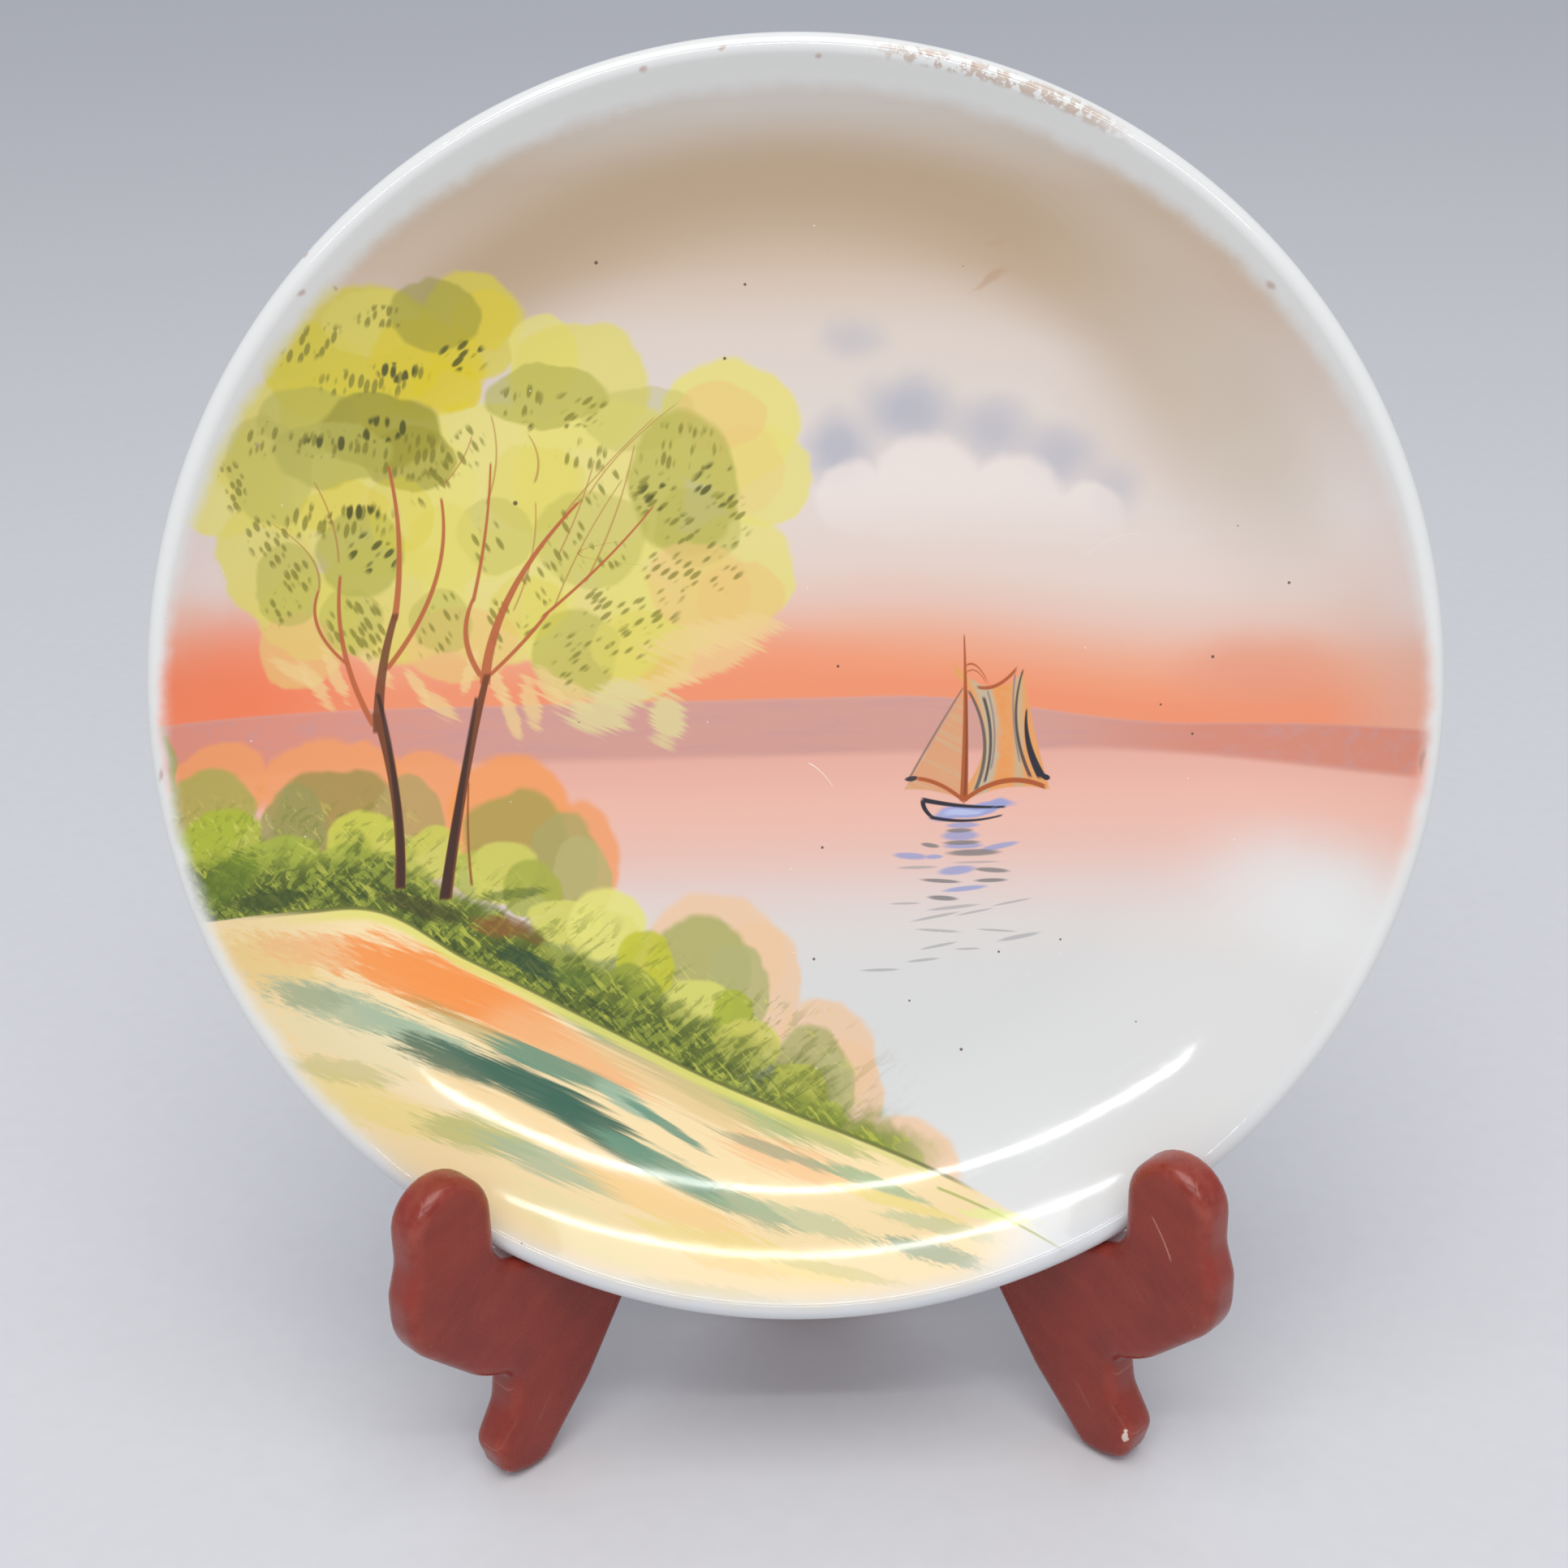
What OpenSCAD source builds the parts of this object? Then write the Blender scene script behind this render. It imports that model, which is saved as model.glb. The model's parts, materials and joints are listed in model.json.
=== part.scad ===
// Hand-painted porcelain plate standing in a two-leaf folding plate stand.
// Millimetres, +Z up, the viewer is on the -Y side. The origin is on the table,
// under the middle of the whole object's footprint.

/* [Plate] */
// Outside diameter of the plate
plate_d = 190; // [180:1:196]
// Half of the wall's thickness, which is also the radius of the rounded lip
lip_r = 1.9; // [1.5:0.1:2.2]
// Slope of the wall where it meets the lip, in degrees
rim_slope = 40; // [30:1:45]
// Radius of the curve from the flat well up to the rim
rim_bend = 54; // [46:1:58]
// Diameter of the foot ring, at the middle of its width
ring_d = 108; // [100:1:112]
// Width of the foot ring
ring_w = 3.6; // [2.5:0.1:5]
// Height of the foot ring below the back of the well
ring_h = 3.6; // [2:0.1:4]

/* [Pose] */
// Angle that the plate leans back from upright
lean = 15; // [12:1:18]
// Angle of each open leaf from straight ahead
leaf_spread = 45; // [42:1:48]

/* [Leaf] */
// Thickness of the moulded leaf
leaf_t = 7.2; // [6:0.1:8]
// Reach from the hinge to the back of the finger
notch_reach = 65.8; // [64:0.1:68]
// Width of the finger, seen on the side of the leaf
finger_w = 15; // [12:0.5:16]
// Height of the finger's round tip
finger_top = 59.4; // [56:0.1:62]
// Height of the seat where it meets the finger
seat_z = 41.2; // [40:0.1:42]
// Height of the underside, at the crown of the arch between the legs
arch_z = 28; // [24:0.5:30]
// Height of the upright that the plate leans on
upright_top = 98.5; // [90:0.5:105]

/* [Hinge] */
// Outside diameter of the hinge barrel
barrel_d = 8.4; // [8:0.1:10]
// Diameter of the steel hinge pin
pin_d = 2.5; // [2:0.1:3]
// Running clearance around the pin, on the radius
pin_gap = 0.05; // [0.03:0.01:0.1]
// Number of knuckles in the barrel, shared by the two leaves
knuckles = 5; // [3:2:7]

/* [Hidden] */
$fn = 96;

// Clearances between moving pieces
face_gap = 0.4;
knuckle_gap = 0.2;
barrel_gap = 0.5;
plate_gap = 0.3;
rim_gap = 0.6;

// Plate section: the middle of the wall is a flat well, then one arc up to the lip
plate_r = plate_d / 2;
lip_centre_r = plate_r - lip_r;
well_r = lip_centre_r - rim_bend * sin(rim_slope);
well_depth = rim_bend * (1 - cos(rim_slope));
bend_centre_z = rim_bend - well_depth;
back_z = -well_depth - lip_r;
ring_z = back_z - ring_h;
arc_step = 4;
lip_steps = 12;

// Where the rim bears on each seat: its reach along the leaf, and its height there
seat_fall = 4;
seat_run = 15.8;
bear_reach = 60.4;
bear_z = seat_z - (notch_reach - bear_reach) * seat_fall / seat_run - rim_gap;
bear_x = bear_reach * sin(leaf_spread);
bear_drop = sqrt(plate_r * plate_r - bear_x * bear_x);

// Hinge axis, set so that the origin is under the middle of the footprint
finger_reach = notch_reach + finger_w;
chin_reach = finger_reach + 1.7;
plate_setback = bear_reach * cos(leaf_spread) - bear_drop * sin(lean);
ring_reach = (ring_d + ring_w) / 2 * sin(lean) - ring_z * cos(lean);
hinge_y = (chin_reach * cos(leaf_spread) + plate_setback - ring_reach) / 2;
plate_y = hinge_y - plate_setback;
plate_z = bear_z + bear_drop * cos(lean);

// Relief in the back of each finger, so that the rim can go straight up
relief_y = plate_y - bear_drop * sin(lean) - lip_r / cos(lean);
relief_z = seat_z - plate_gap;
relief_run = 10;

// The upright's front edge lies along the plane of the foot ring, seen on the leaf
edge_slope = tan(lean) / cos(leaf_spread);
edge_reach = (plate_setback * cos(lean) + ring_z + plate_z * sin(lean)) / cos(leaf_spread) / cos(lean);
function upright_edge(z) = edge_reach - edge_slope * z - plate_gap / cos(leaf_spread);

// Leaf outline: reach from the hinge, height, corner radius
corner_steps = 8;
leaf_corners = [
    [0, 0, 0.5],
    [8, 0, 2],
    [10, arch_z / 2 - 2, 12],
    [20, arch_z, 10],
    [37, arch_z, 10],
    [49.5, 10.5, 14],
    [59.5, 0, 4],
    [63.5, 0, 2.5],
    [67.5, 1.2, 3.5],
    [69.2, 7, 3.5],
    [65.6, 13, 6],
    [64.6, 20, 2.5],
    [70, 21.8, 14],
    [chin_reach, 34, 9],
    [chin_reach, 42, 7],
    [finger_reach, 47, 8],
    [finger_reach, finger_top, finger_w / 2],
    [notch_reach, finger_top, finger_w / 2],
    [notch_reach, seat_z, 4.5],
    [notch_reach - seat_run, seat_z - seat_fall, 8],
    [34, 36, 12],
    [upright_edge(56), 56, 12],
    [upright_edge(upright_top), upright_top, 5],
    [0, upright_top, 0.5]
];

// Hinge barrel over the leaf's whole height, and the pin pushed in from its top
knuckle_h = upright_top / knuckles;
pin_low = 2.4;
pin_end_gap = 0.2;
head_r = 2.6;
head_top_r = 1.8;
head_h = 1.4;

// Points of an arc, from angle a0 to a1
function arc(c, r, a0, a1, n) = [
    for (i = [0:n]) let (a = a0 + (a1 - a0) * i / n) c + r * [cos(a), sin(a)]
];

function unit(v) = v / norm(v);
function flat(v) = [v[0], v[1]];

// Points that round one corner b, between its neighbours a and c, with radius r
function corner(a, b, c, r, n) =
    let (
        u = unit(a - b),
        v = unit(c - b),
        half = acos(max(-1, min(1, u * v))) / 2,
        centre = b + unit(u + v) * r / sin(half),
        p = b + u * r / tan(half) - centre,
        q = b + v * r / tan(half) - centre,
        a0 = atan2(p[1], p[0]),
        turn = (atan2(q[1], q[0]) - a0 + 540) % 360 - 180
    )
    arc(centre, r, a0, a0 + turn, n);

// An outline whose corners are rounded by their own radii
function rounded(points, n) = [
    for (i = [0:len(points) - 1])
        let (
            b = points[i],
            a = points[(i + len(points) - 1) % len(points)],
            c = points[(i + 1) % len(points)]
        )
        each corner(flat(a), flat(b), flat(c), b[2], n)
];

// Half of the plate's section: well, curve, lip, back and foot ring
module plate_section() {
    bends = ceil(rim_slope / arc_step);
    c = [well_r, bend_centre_z];
    polygon(concat(
        [[0, -well_depth + lip_r]],
        arc(c, rim_bend - lip_r, -90, rim_slope - 90, bends),
        arc([lip_centre_r, 0], lip_r, 90 + rim_slope, rim_slope - 90, lip_steps),
        arc(c, rim_bend + lip_r, rim_slope - 90, -90, bends),
        [
            [(ring_d + ring_w) / 2, back_z],
            [(ring_d + ring_w) / 2, ring_z],
            [(ring_d - ring_w) / 2, ring_z],
            [(ring_d - ring_w) / 2, back_z],
            [0, back_z]
        ]
    ));
}

// Places a shape made around +Z in the plate's leaning pose
module in_plate_pose() {
    translate([0, plate_y, plate_z]) rotate([90 - lean, 0, 0]) children();
}

// Room for the rim where it rests on a seat, and for its way straight up
module rim_room() {
    in_plate_pose()
        rotate_extrude() translate([lip_centre_r, 0]) circle(r = lip_r + plate_gap);
    translate([-plate_r, relief_y, relief_z]) cube([plate_d, relief_run, finger_top]);
}

// One knuckle of the barrel, counted from the table
module knuckle(i, grow, trim) {
    translate([0, 0, i * knuckle_h + trim])
        cylinder(d = barrel_d + 2 * grow, h = knuckle_h - 2 * trim);
}

// One leaf of the stand on the +X side, with every second knuckle from first on
module leaf(first) {
    difference() {
        translate([0, hinge_y, 0]) difference() {
            union() {
                rotate([0, 0, leaf_spread - 90]) translate([0, face_gap + leaf_t, 0])
                    rotate([90, 0, 0]) linear_extrude(leaf_t) polygon(rounded(leaf_corners, corner_steps));
                for (i = [first:2:knuckles - 1]) knuckle(i, 0, knuckle_gap);
            }
            for (i = [1 - first:2:knuckles - 1]) knuckle(i, barrel_gap, 0);
            translate([0, 0, pin_low - pin_end_gap]) cylinder(d = pin_d + 2 * pin_gap, h = upright_top);
        }
        rim_room();
    }
}

module plate() {
    color("ivory") in_plate_pose() rotate_extrude() plate_section();
}

module left_leaf() {
    color("brown") mirror([1, 0, 0]) leaf(0);
}

module right_leaf() {
    color("brown") leaf(1);
}

module hinge_pin() {
    color("silver") translate([0, hinge_y, 0]) {
        translate([0, 0, pin_low]) cylinder(d = pin_d, h = upright_top - pin_low);
        translate([0, 0, upright_top]) cylinder(r1 = head_r, r2 = head_top_r, h = head_h);
    }
}

plate();
left_leaf();
right_leaf();
hinge_pin();
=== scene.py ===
# %% [markdown]
# A painted porcelain plate leaning in a small folding stand. The engineering model says where every
# piece is and how it moves. Here each piece gets its finished mesh and its surface. We work in metres.

# %% Load the frame
import json
import math

import bpy
from mathutils import Matrix, Vector


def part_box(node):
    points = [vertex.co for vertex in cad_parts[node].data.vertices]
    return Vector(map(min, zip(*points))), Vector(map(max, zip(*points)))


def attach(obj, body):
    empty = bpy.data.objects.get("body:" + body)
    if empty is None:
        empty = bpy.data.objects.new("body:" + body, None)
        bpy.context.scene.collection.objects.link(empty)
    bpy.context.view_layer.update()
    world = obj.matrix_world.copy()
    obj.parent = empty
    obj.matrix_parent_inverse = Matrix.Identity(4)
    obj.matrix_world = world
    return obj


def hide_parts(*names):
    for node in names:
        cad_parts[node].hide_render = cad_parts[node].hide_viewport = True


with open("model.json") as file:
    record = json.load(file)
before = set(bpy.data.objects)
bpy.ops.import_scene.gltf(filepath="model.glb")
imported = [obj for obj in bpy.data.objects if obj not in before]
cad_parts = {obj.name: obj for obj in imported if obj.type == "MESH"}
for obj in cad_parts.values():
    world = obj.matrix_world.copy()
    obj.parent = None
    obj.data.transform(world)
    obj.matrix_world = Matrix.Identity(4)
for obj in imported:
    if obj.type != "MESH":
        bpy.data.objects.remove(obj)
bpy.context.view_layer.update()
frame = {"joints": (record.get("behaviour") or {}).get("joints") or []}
MM = 0.001

# %% [markdown]
# The driving sizes repeat those of the engineering model. Places come from the frame: the hinge line is
# where the fold joint says it is, and the plate's centre follows from the box around the plate.

# %% Sizes and places
LEAN = math.radians(15)
SPREAD = math.radians(45)
LIP = 1.9 * MM
RIM_SLOPE = math.radians(40)
RIM_BEND = 54 * MM
RING_MIDDLE = 54 * MM
RING_WIDTH = 3.6 * MM
RING_HEIGHT = 3.6 * MM
LEAF_THICKNESS = 7.2 * MM
LEAF_ROUND = 2.2 * MM
LEAF_GAP = 0.4 * MM
BARREL = 4.2 * MM
PIN = 1.25 * MM

fold = next(j for j in frame["joints"] if j["name"] == "right_leaf_fold")
HINGE_Y = fold["pos_m"][1]
plate_low, plate_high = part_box("plate")
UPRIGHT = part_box("left_leaf")[1].z
PLATE_RADIUS = (plate_high.x - plate_low.x) / 2
LIP_RADIUS = PLATE_RADIUS - LIP
PLATE_CENTRE = Vector((
    0,
    plate_low.y + LIP_RADIUS * math.sin(LEAN) + LIP,
    (plate_low.z + plate_high.z) / 2,
))
print("plate radius", round(PLATE_RADIUS, 4), "centre", [round(v, 4) for v in PLATE_CENTRE])

# %% [markdown]
# The camera looks down at the plate from a little above it, as a person does who bends over a table.

# %% Camera
CAMERA_BACK = 317.6 * MM
CAMERA_HEIGHT = 256 * MM
CAMERA_SIDE = -2.1 * MM
CAMERA_TILT = math.radians(65.1)
CAMERA_ROLL = math.radians(-1.5)

camera_data = bpy.data.cameras.new("camera")
camera_data.lens = 54.0
camera_data.sensor_width = 36
camera_data.clip_start = 0.01
camera = bpy.data.objects.new("camera", camera_data)
camera.location = (CAMERA_SIDE, PLATE_CENTRE.y - CAMERA_BACK, CAMERA_HEIGHT)
turn = Matrix.Rotation(CAMERA_TILT, 3, "X") @ Matrix.Rotation(CAMERA_ROLL, 3, "Z")
camera.rotation_euler = turn.to_euler()
bpy.context.collection.objects.link(camera)
bpy.context.scene.camera = camera
print("camera at", [round(v, 3) for v in camera.location])

# %% [markdown]
# A few helpers stand for the moves of a hand in edit mode. Everything is deselected before a new shape is
# started, because the engineering nodes come in selected.

# %% Modelling helpers
def fresh(name):
    """Names the primitive that was just added, and returns it."""
    piece = bpy.context.object
    piece.name = name
    piece.data.name = name
    return piece


def deselect():
    bpy.ops.object.select_all(action="DESELECT")


def only(piece):
    """Makes piece the one selected, active object."""
    deselect()
    piece.select_set(True)
    bpy.context.view_layer.objects.active = piece


def settle(piece):
    """Puts the piece's place and turn into its mesh, so that its object sits at the origin."""
    only(piece)
    bpy.ops.object.transform_apply(location=True, rotation=True, scale=True)


def face_out(piece):
    """Merges doubled points, then turns every face outwards."""
    only(piece)
    bpy.ops.object.mode_set(mode="EDIT")
    bpy.ops.mesh.select_all(action="SELECT")
    bpy.ops.mesh.remove_doubles(threshold=0.000002)
    bpy.ops.mesh.normals_make_consistent(inside=False)
    bpy.ops.object.mode_set(mode="OBJECT")


def smooth(piece, degrees):
    only(piece)
    bpy.ops.object.shade_smooth_by_angle(angle=math.radians(degrees))


def carve(piece, tool, operation):
    """Joins a tool to the piece or cuts it away, and deletes the tool."""
    only(piece)
    modifier = piece.modifiers.new("carve", "BOOLEAN")
    modifier.operation = operation
    modifier.solver = "MANIFOLD"
    modifier.object = tool
    bpy.ops.object.modifier_apply(modifier=modifier.name)
    bpy.data.objects.remove(tool)


def report(piece):
    low = [min(v.co[i] for v in piece.data.vertices) for i in range(3)]
    high = [max(v.co[i] for v in piece.data.vertices) for i in range(3)]
    size = [round((b - a) / MM, 1) for a, b in zip(low, high)]
    print(piece.name, "is", size, "mm with", len(piece.data.polygons), "faces")


# %% [markdown]
# The plate is turned on a wheel, so one half of its section is drawn and spun about its axis. A single
# point is extruded along the section, as a hand would do it: across the flat well, up the curve of the
# wall, round the lip, back down the outside and over the foot ring.

# %% The plate's section
WELL_RADIUS = LIP_RADIUS - RIM_BEND * math.sin(RIM_SLOPE)
WELL_DEPTH = RIM_BEND * (1 - math.cos(RIM_SLOPE))


def arc(centre, radius, start, end, steps):
    """Points of an arc, without its first one."""
    angles = [start + (end - start) * i / steps for i in range(1, steps + 1)]
    return [(centre[0] + radius * math.cos(a), centre[1] + radius * math.sin(a)) for a in angles]


def plate_section():
    bend = (WELL_RADIUS, RIM_BEND - WELL_DEPTH)
    down = math.radians(-90)
    ring_out = RING_MIDDLE + RING_WIDTH / 2
    ring_in = RING_MIDDLE - RING_WIDTH / 2
    back = -WELL_DEPTH - LIP
    foot = back - RING_HEIGHT
    round_off = 0.5 * MM
    fillet = 1.2 * MM
    fillet_low = back - 0.9 * MM
    fillet_middle = back - 0.2 * MM
    well = LIP - WELL_DEPTH
    points = [(0, well), (WELL_RADIUS / 2, well), (WELL_RADIUS, well)]
    points += arc(bend, RIM_BEND - LIP, down, RIM_SLOPE + down, 24)
    points += arc((LIP_RADIUS, 0), LIP, RIM_SLOPE - down, RIM_SLOPE + down, 20)
    points += arc(bend, RIM_BEND + LIP, RIM_SLOPE + down, down, 24)
    points += [(ring_out + fillet, back), (ring_out + round_off, fillet_middle), (ring_out, fillet_low)]
    points += [(ring_out, foot + round_off)]
    points += arc((ring_out - round_off, foot + round_off), round_off, 0, down, 4)
    points += [(ring_in + round_off, foot)]
    points += arc((ring_in + round_off, foot + round_off), round_off, down, 2 * down, 4)
    points += [(ring_in, fillet_low), (ring_in - round_off, fillet_middle), (ring_in - fillet, back)]
    points += [(RING_MIDDLE / 2, back), (0, back)]
    return points


section = plate_section()
print("the section has", len(section), "points")

# %% [markdown]
# Spinning the line closes the skin. The same function turns the hinge pin further down.

# %% Spin the plate
SPIN_STEPS = 300


def spun(name, points, steps):
    """Extrudes one point along the section in the XZ plane, then spins the line about Z."""
    deselect()
    bpy.ops.mesh.primitive_plane_add(size=MM, location=(0, 0, 0))
    piece = fresh(name)
    bpy.ops.object.mode_set(mode="EDIT")
    bpy.ops.mesh.select_mode(type="VERT")
    bpy.ops.mesh.select_all(action="SELECT")
    bpy.ops.mesh.merge(type="CENTER")
    bpy.ops.transform.translate(value=(points[0][0], 0, points[0][1]))
    for a, b in zip(points, points[1:]):
        step = (b[0] - a[0], 0, b[1] - a[1])
        bpy.ops.mesh.extrude_region_move(TRANSFORM_OT_translate={"value": step})
    bpy.ops.mesh.select_all(action="SELECT")
    bpy.ops.mesh.spin(steps=steps, angle=2 * math.pi, center=(0, 0, 0), axis=(0, 0, 1))
    bpy.ops.object.mode_set(mode="OBJECT")
    face_out(piece)
    return piece


plate = spun("painted_plate", section, SPIN_STEPS)
report(plate)

# %% [markdown]
# The plate gets three finishes: the painted front, the plain white back, and the bare clay of the foot
# ring, which is wiped free of glaze before firing. They are told apart while the plate still lies flat.

# %% Mark the front, the back and the bare ring
FRONT, BACK, BARE = 0, 1, 2
BARE_BAND = 0.45 * MM
PAINTED_LIP = 0.6 * MM
FACING_UP = 0.05
foot_level = -WELL_DEPTH - LIP - RING_HEIGHT + BARE_BAND
for face in plate.data.polygons:
    reach = math.hypot(face.center.x, face.center.y)
    on_lip = reach > LIP_RADIUS and face.center.z > -PAINTED_LIP
    if face.normal.z > FACING_UP or on_lip:
        face.material_index = FRONT
    elif face.center.z < foot_level:
        face.material_index = BARE
    else:
        face.material_index = BACK

smooth(plate, 40)
plate.rotation_euler = (math.radians(90) - LEAN, 0, 0)
plate.location = PLATE_CENTRE
settle(plate)
report(plate)

# %% [markdown]
# Each leaf of the stand is a flat moulding with softly rounded edges. Its outline is drawn in millimetres
# from the hinge line and the table, with one radius for each corner.

# %% The leaf's outline
ARCH = 28
FINGER_BACK, FINGER_FRONT, CHIN = 65.8, 80.8, 82.5
FINGER_TOP = 59.4
SEAT, SEAT_RUN, SEAT_FALL = 41.2, 15.8, 4
PLATE_CLEARANCE = 0.3

ring_plane = -(WELL_DEPTH + LIP + RING_HEIGHT) / MM
setback = (HINGE_Y - PLATE_CENTRE.y) / MM
EDGE_REACH = (
    setback * math.cos(LEAN) + ring_plane + PLATE_CENTRE.z / MM * math.sin(LEAN)
) / math.cos(SPREAD) / math.cos(LEAN)


def upright_edge(height):
    """How far the upright reaches at that height, in millimetres, just behind the foot ring."""
    return EDGE_REACH - math.tan(LEAN) / math.cos(SPREAD) * height - PLATE_CLEARANCE / math.cos(SPREAD)


TOP = UPRIGHT / MM
TIP_ROUND = 7.5
LEAF_CORNERS = [
    (0, 0, 2.3),
    (8, 0, 2.3),
    (10, ARCH / 2 - 2, 12),
    (20, ARCH, 10),
    (37, ARCH, 10),
    (49.5, 10.5, 14),
    (59.5, 0, 4),
    (63.5, 0, 2.5),
    (67.5, 1.2, 3.5),
    (69.2, 7, 3.5),
    (65.6, 13, 6),
    (64.6, 20, 2.5),
    (70, 21.8, 14),
    (CHIN, 34, 9),
    (CHIN, 42, 7),
    (FINGER_FRONT, 47, 8),
    (FINGER_FRONT, FINGER_TOP, TIP_ROUND),
    (FINGER_BACK, FINGER_TOP, TIP_ROUND),
    (FINGER_BACK, SEAT, 4.5),
    (FINGER_BACK - SEAT_RUN, SEAT - SEAT_FALL, 8),
    (34, 36, 12),
    (upright_edge(56), 56, 12),
    (upright_edge(TOP), TOP, 5),
    (0, TOP, 2.3),
]
SHORTEST_EDGE = 0.05
CORNER_STEPS = 8


def rounded(corners, steps):
    """The outline through the corners, each rounded by its own radius."""
    outline = []
    for i, (x, z, radius) in enumerate(corners):
        here = Vector((x, z))
        before = (Vector(corners[i - 1][:2]) - here).normalized()
        after = (Vector(corners[(i + 1) % len(corners)][:2]) - here).normalized()
        half = before.angle(after) / 2
        centre = here + (before + after).normalized() * radius / math.sin(half)
        start = here + before * radius / math.tan(half) - centre
        end = here + after * radius / math.tan(half) - centre
        first = math.atan2(start.y, start.x)
        sweep = (math.atan2(end.y, end.x) - first + 3 * math.pi) % (2 * math.pi) - math.pi
        for k in range(steps + 1):
            a = first + sweep * k / steps
            point = centre + radius * Vector((math.cos(a), math.sin(a)))
            if not outline or (point - outline[-1]).length > SHORTEST_EDGE:
                outline.append(point)
    return outline


leaf_outline = rounded(LEAF_CORNERS, CORNER_STEPS)
print("the leaf's outline has", len(leaf_outline), "points")

# %% [markdown]
# A flat face of that outline is extruded to the leaf's thickness, and both sides are then inset in small
# steps that sink along a quarter circle, which gives the even round edge of a moulding. Rods on the hinge
# line make room for the other leaf's knuckles, then add this leaf's own, and the last one bores the barrel.

# %% Mould one leaf
ROUND_STEPS = 5
KNUCKLES = 5
KNUCKLE_GAP = 0.2 * MM
BARREL_GAP = 0.5 * MM
KNUCKLE_EDGE = 0.5 * MM
BORE = 1.3 * MM
BORE_FLOOR = 2.2 * MM


def pick_cap(piece, height):
    """Selects the one face that lies flat at that height."""
    bpy.ops.object.mode_set(mode="OBJECT")
    for face in piece.data.polygons:
        face.select = abs(face.center.y - height) < 0.01 * MM and abs(face.normal.y) > 0.99
    for edge in piece.data.edges:
        edge.select = False
    bpy.ops.object.mode_set(mode="EDIT")


def round_side(piece, height):
    """Insets a side in steps that sink along a quarter circle."""
    pick_cap(piece, height)
    for k in range(ROUND_STEPS):
        a0 = math.radians(90) * k / ROUND_STEPS
        a1 = math.radians(90) * (k + 1) / ROUND_STEPS
        bpy.ops.mesh.inset(
            thickness=LEAF_ROUND * (math.cos(a0) - math.cos(a1)),
            depth=LEAF_ROUND * (math.sin(a1) - math.sin(a0)),
            use_even_offset=True,
        )
    bpy.ops.object.mode_set(mode="OBJECT")


def rod(radius, bottom, top, edge):
    """A cylinder on the hinge line, with a bevelled rim if edge isn't nought."""
    deselect()
    bpy.ops.mesh.primitive_cylinder_add(
        vertices=64, radius=radius, depth=top - bottom, location=(0, 0, (bottom + top) / 2)
    )
    made = fresh("rod")
    if edge:
        modifier = made.modifiers.new("rim", "BEVEL")
        modifier.width = edge
        modifier.segments = 3
        modifier.limit_method = "ANGLE"
        bpy.ops.object.modifier_apply(modifier=modifier.name)
    settle(made)
    return made


def leaf(name, first):
    """A leaf on the +X side, opened to its spread, with every second knuckle from first on."""
    deselect()
    bpy.ops.mesh.primitive_circle_add(vertices=len(leaf_outline), radius=MM, fill_type="NGON")
    piece = fresh(name)
    inner = LEAF_GAP + LEAF_ROUND
    outer = LEAF_GAP + LEAF_THICKNESS - LEAF_ROUND
    for vertex, point in zip(piece.data.vertices, leaf_outline):
        vertex.co = (point.x * MM, inner, point.y * MM)
    bpy.ops.object.mode_set(mode="EDIT")
    bpy.ops.mesh.select_mode(type="FACE")
    bpy.ops.mesh.select_all(action="SELECT")
    bpy.ops.mesh.extrude_region_move(TRANSFORM_OT_translate={"value": (0, outer - inner, 0)})
    bpy.ops.mesh.select_all(action="SELECT")
    bpy.ops.mesh.normals_make_consistent(inside=False)
    round_side(piece, outer)
    round_side(piece, inner)
    face_out(piece)
    height = UPRIGHT / KNUCKLES
    for i in range(1 - first, KNUCKLES, 2):
        low = i * height - (MM if i == 0 else 0)
        high = (i + 1) * height + (MM if i == KNUCKLES - 1 else 0)
        carve(piece, rod(BARREL + BARREL_GAP, low, high, 0), "DIFFERENCE")
    for i in range(first, KNUCKLES, 2):
        knuckle = rod(BARREL, i * height + KNUCKLE_GAP, (i + 1) * height - KNUCKLE_GAP, KNUCKLE_EDGE)
        carve(piece, knuckle, "UNION")
    carve(piece, rod(BORE, BORE_FLOOR, UPRIGHT + MM, 0), "DIFFERENCE")
    piece.rotation_euler.z = SPREAD - math.radians(90)
    piece.location.y = HINGE_Y
    settle(piece)
    return piece


right_leaf = leaf("right_leaf_moulding", 1)
left_leaf = leaf("left_leaf_moulding", 0)
left_leaf.scale.x = -1
settle(left_leaf)
for piece in (left_leaf, right_leaf):
    face_out(piece)
    smooth(piece, 30)
    report(piece)

# %% [markdown]
# The pin is a piece of drawn wire with a low upset head. It slides into the barrel from the top.

# %% The hinge pin
PIN_CHAMFER = 0.3 * MM
HEAD = 2.6 * MM
HEAD_CHAMFER = 0.2 * MM
HEAD_ROUND = 1.0 * MM
PIN_STEPS = 48
pin_low, pin_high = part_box("hinge_pin")
pin_section = [(0, pin_low.z), (PIN - PIN_CHAMFER, pin_low.z), (PIN, pin_low.z + PIN_CHAMFER), (PIN, UPRIGHT)]
pin_section += [(HEAD - HEAD_CHAMFER, UPRIGHT), (HEAD, UPRIGHT + HEAD_CHAMFER)]
pin_section += arc((HEAD - HEAD_ROUND, UPRIGHT + 2 * HEAD_CHAMFER), HEAD_ROUND, 0, math.radians(80), 6)
pin_section += [(0, pin_high.z)]
pin = spun("steel_hinge_pin", pin_section, PIN_STEPS)
pin.location.y = HINGE_Y
settle(pin)
smooth(pin, 35)
report(pin)

# %% [markdown]
# Materials are written as sums. A Wire carries a number or a vector from one node to the next, and adding
# or multiplying wires adds the Math nodes. A Board is the sheet that a material's nodes lie on.

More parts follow.
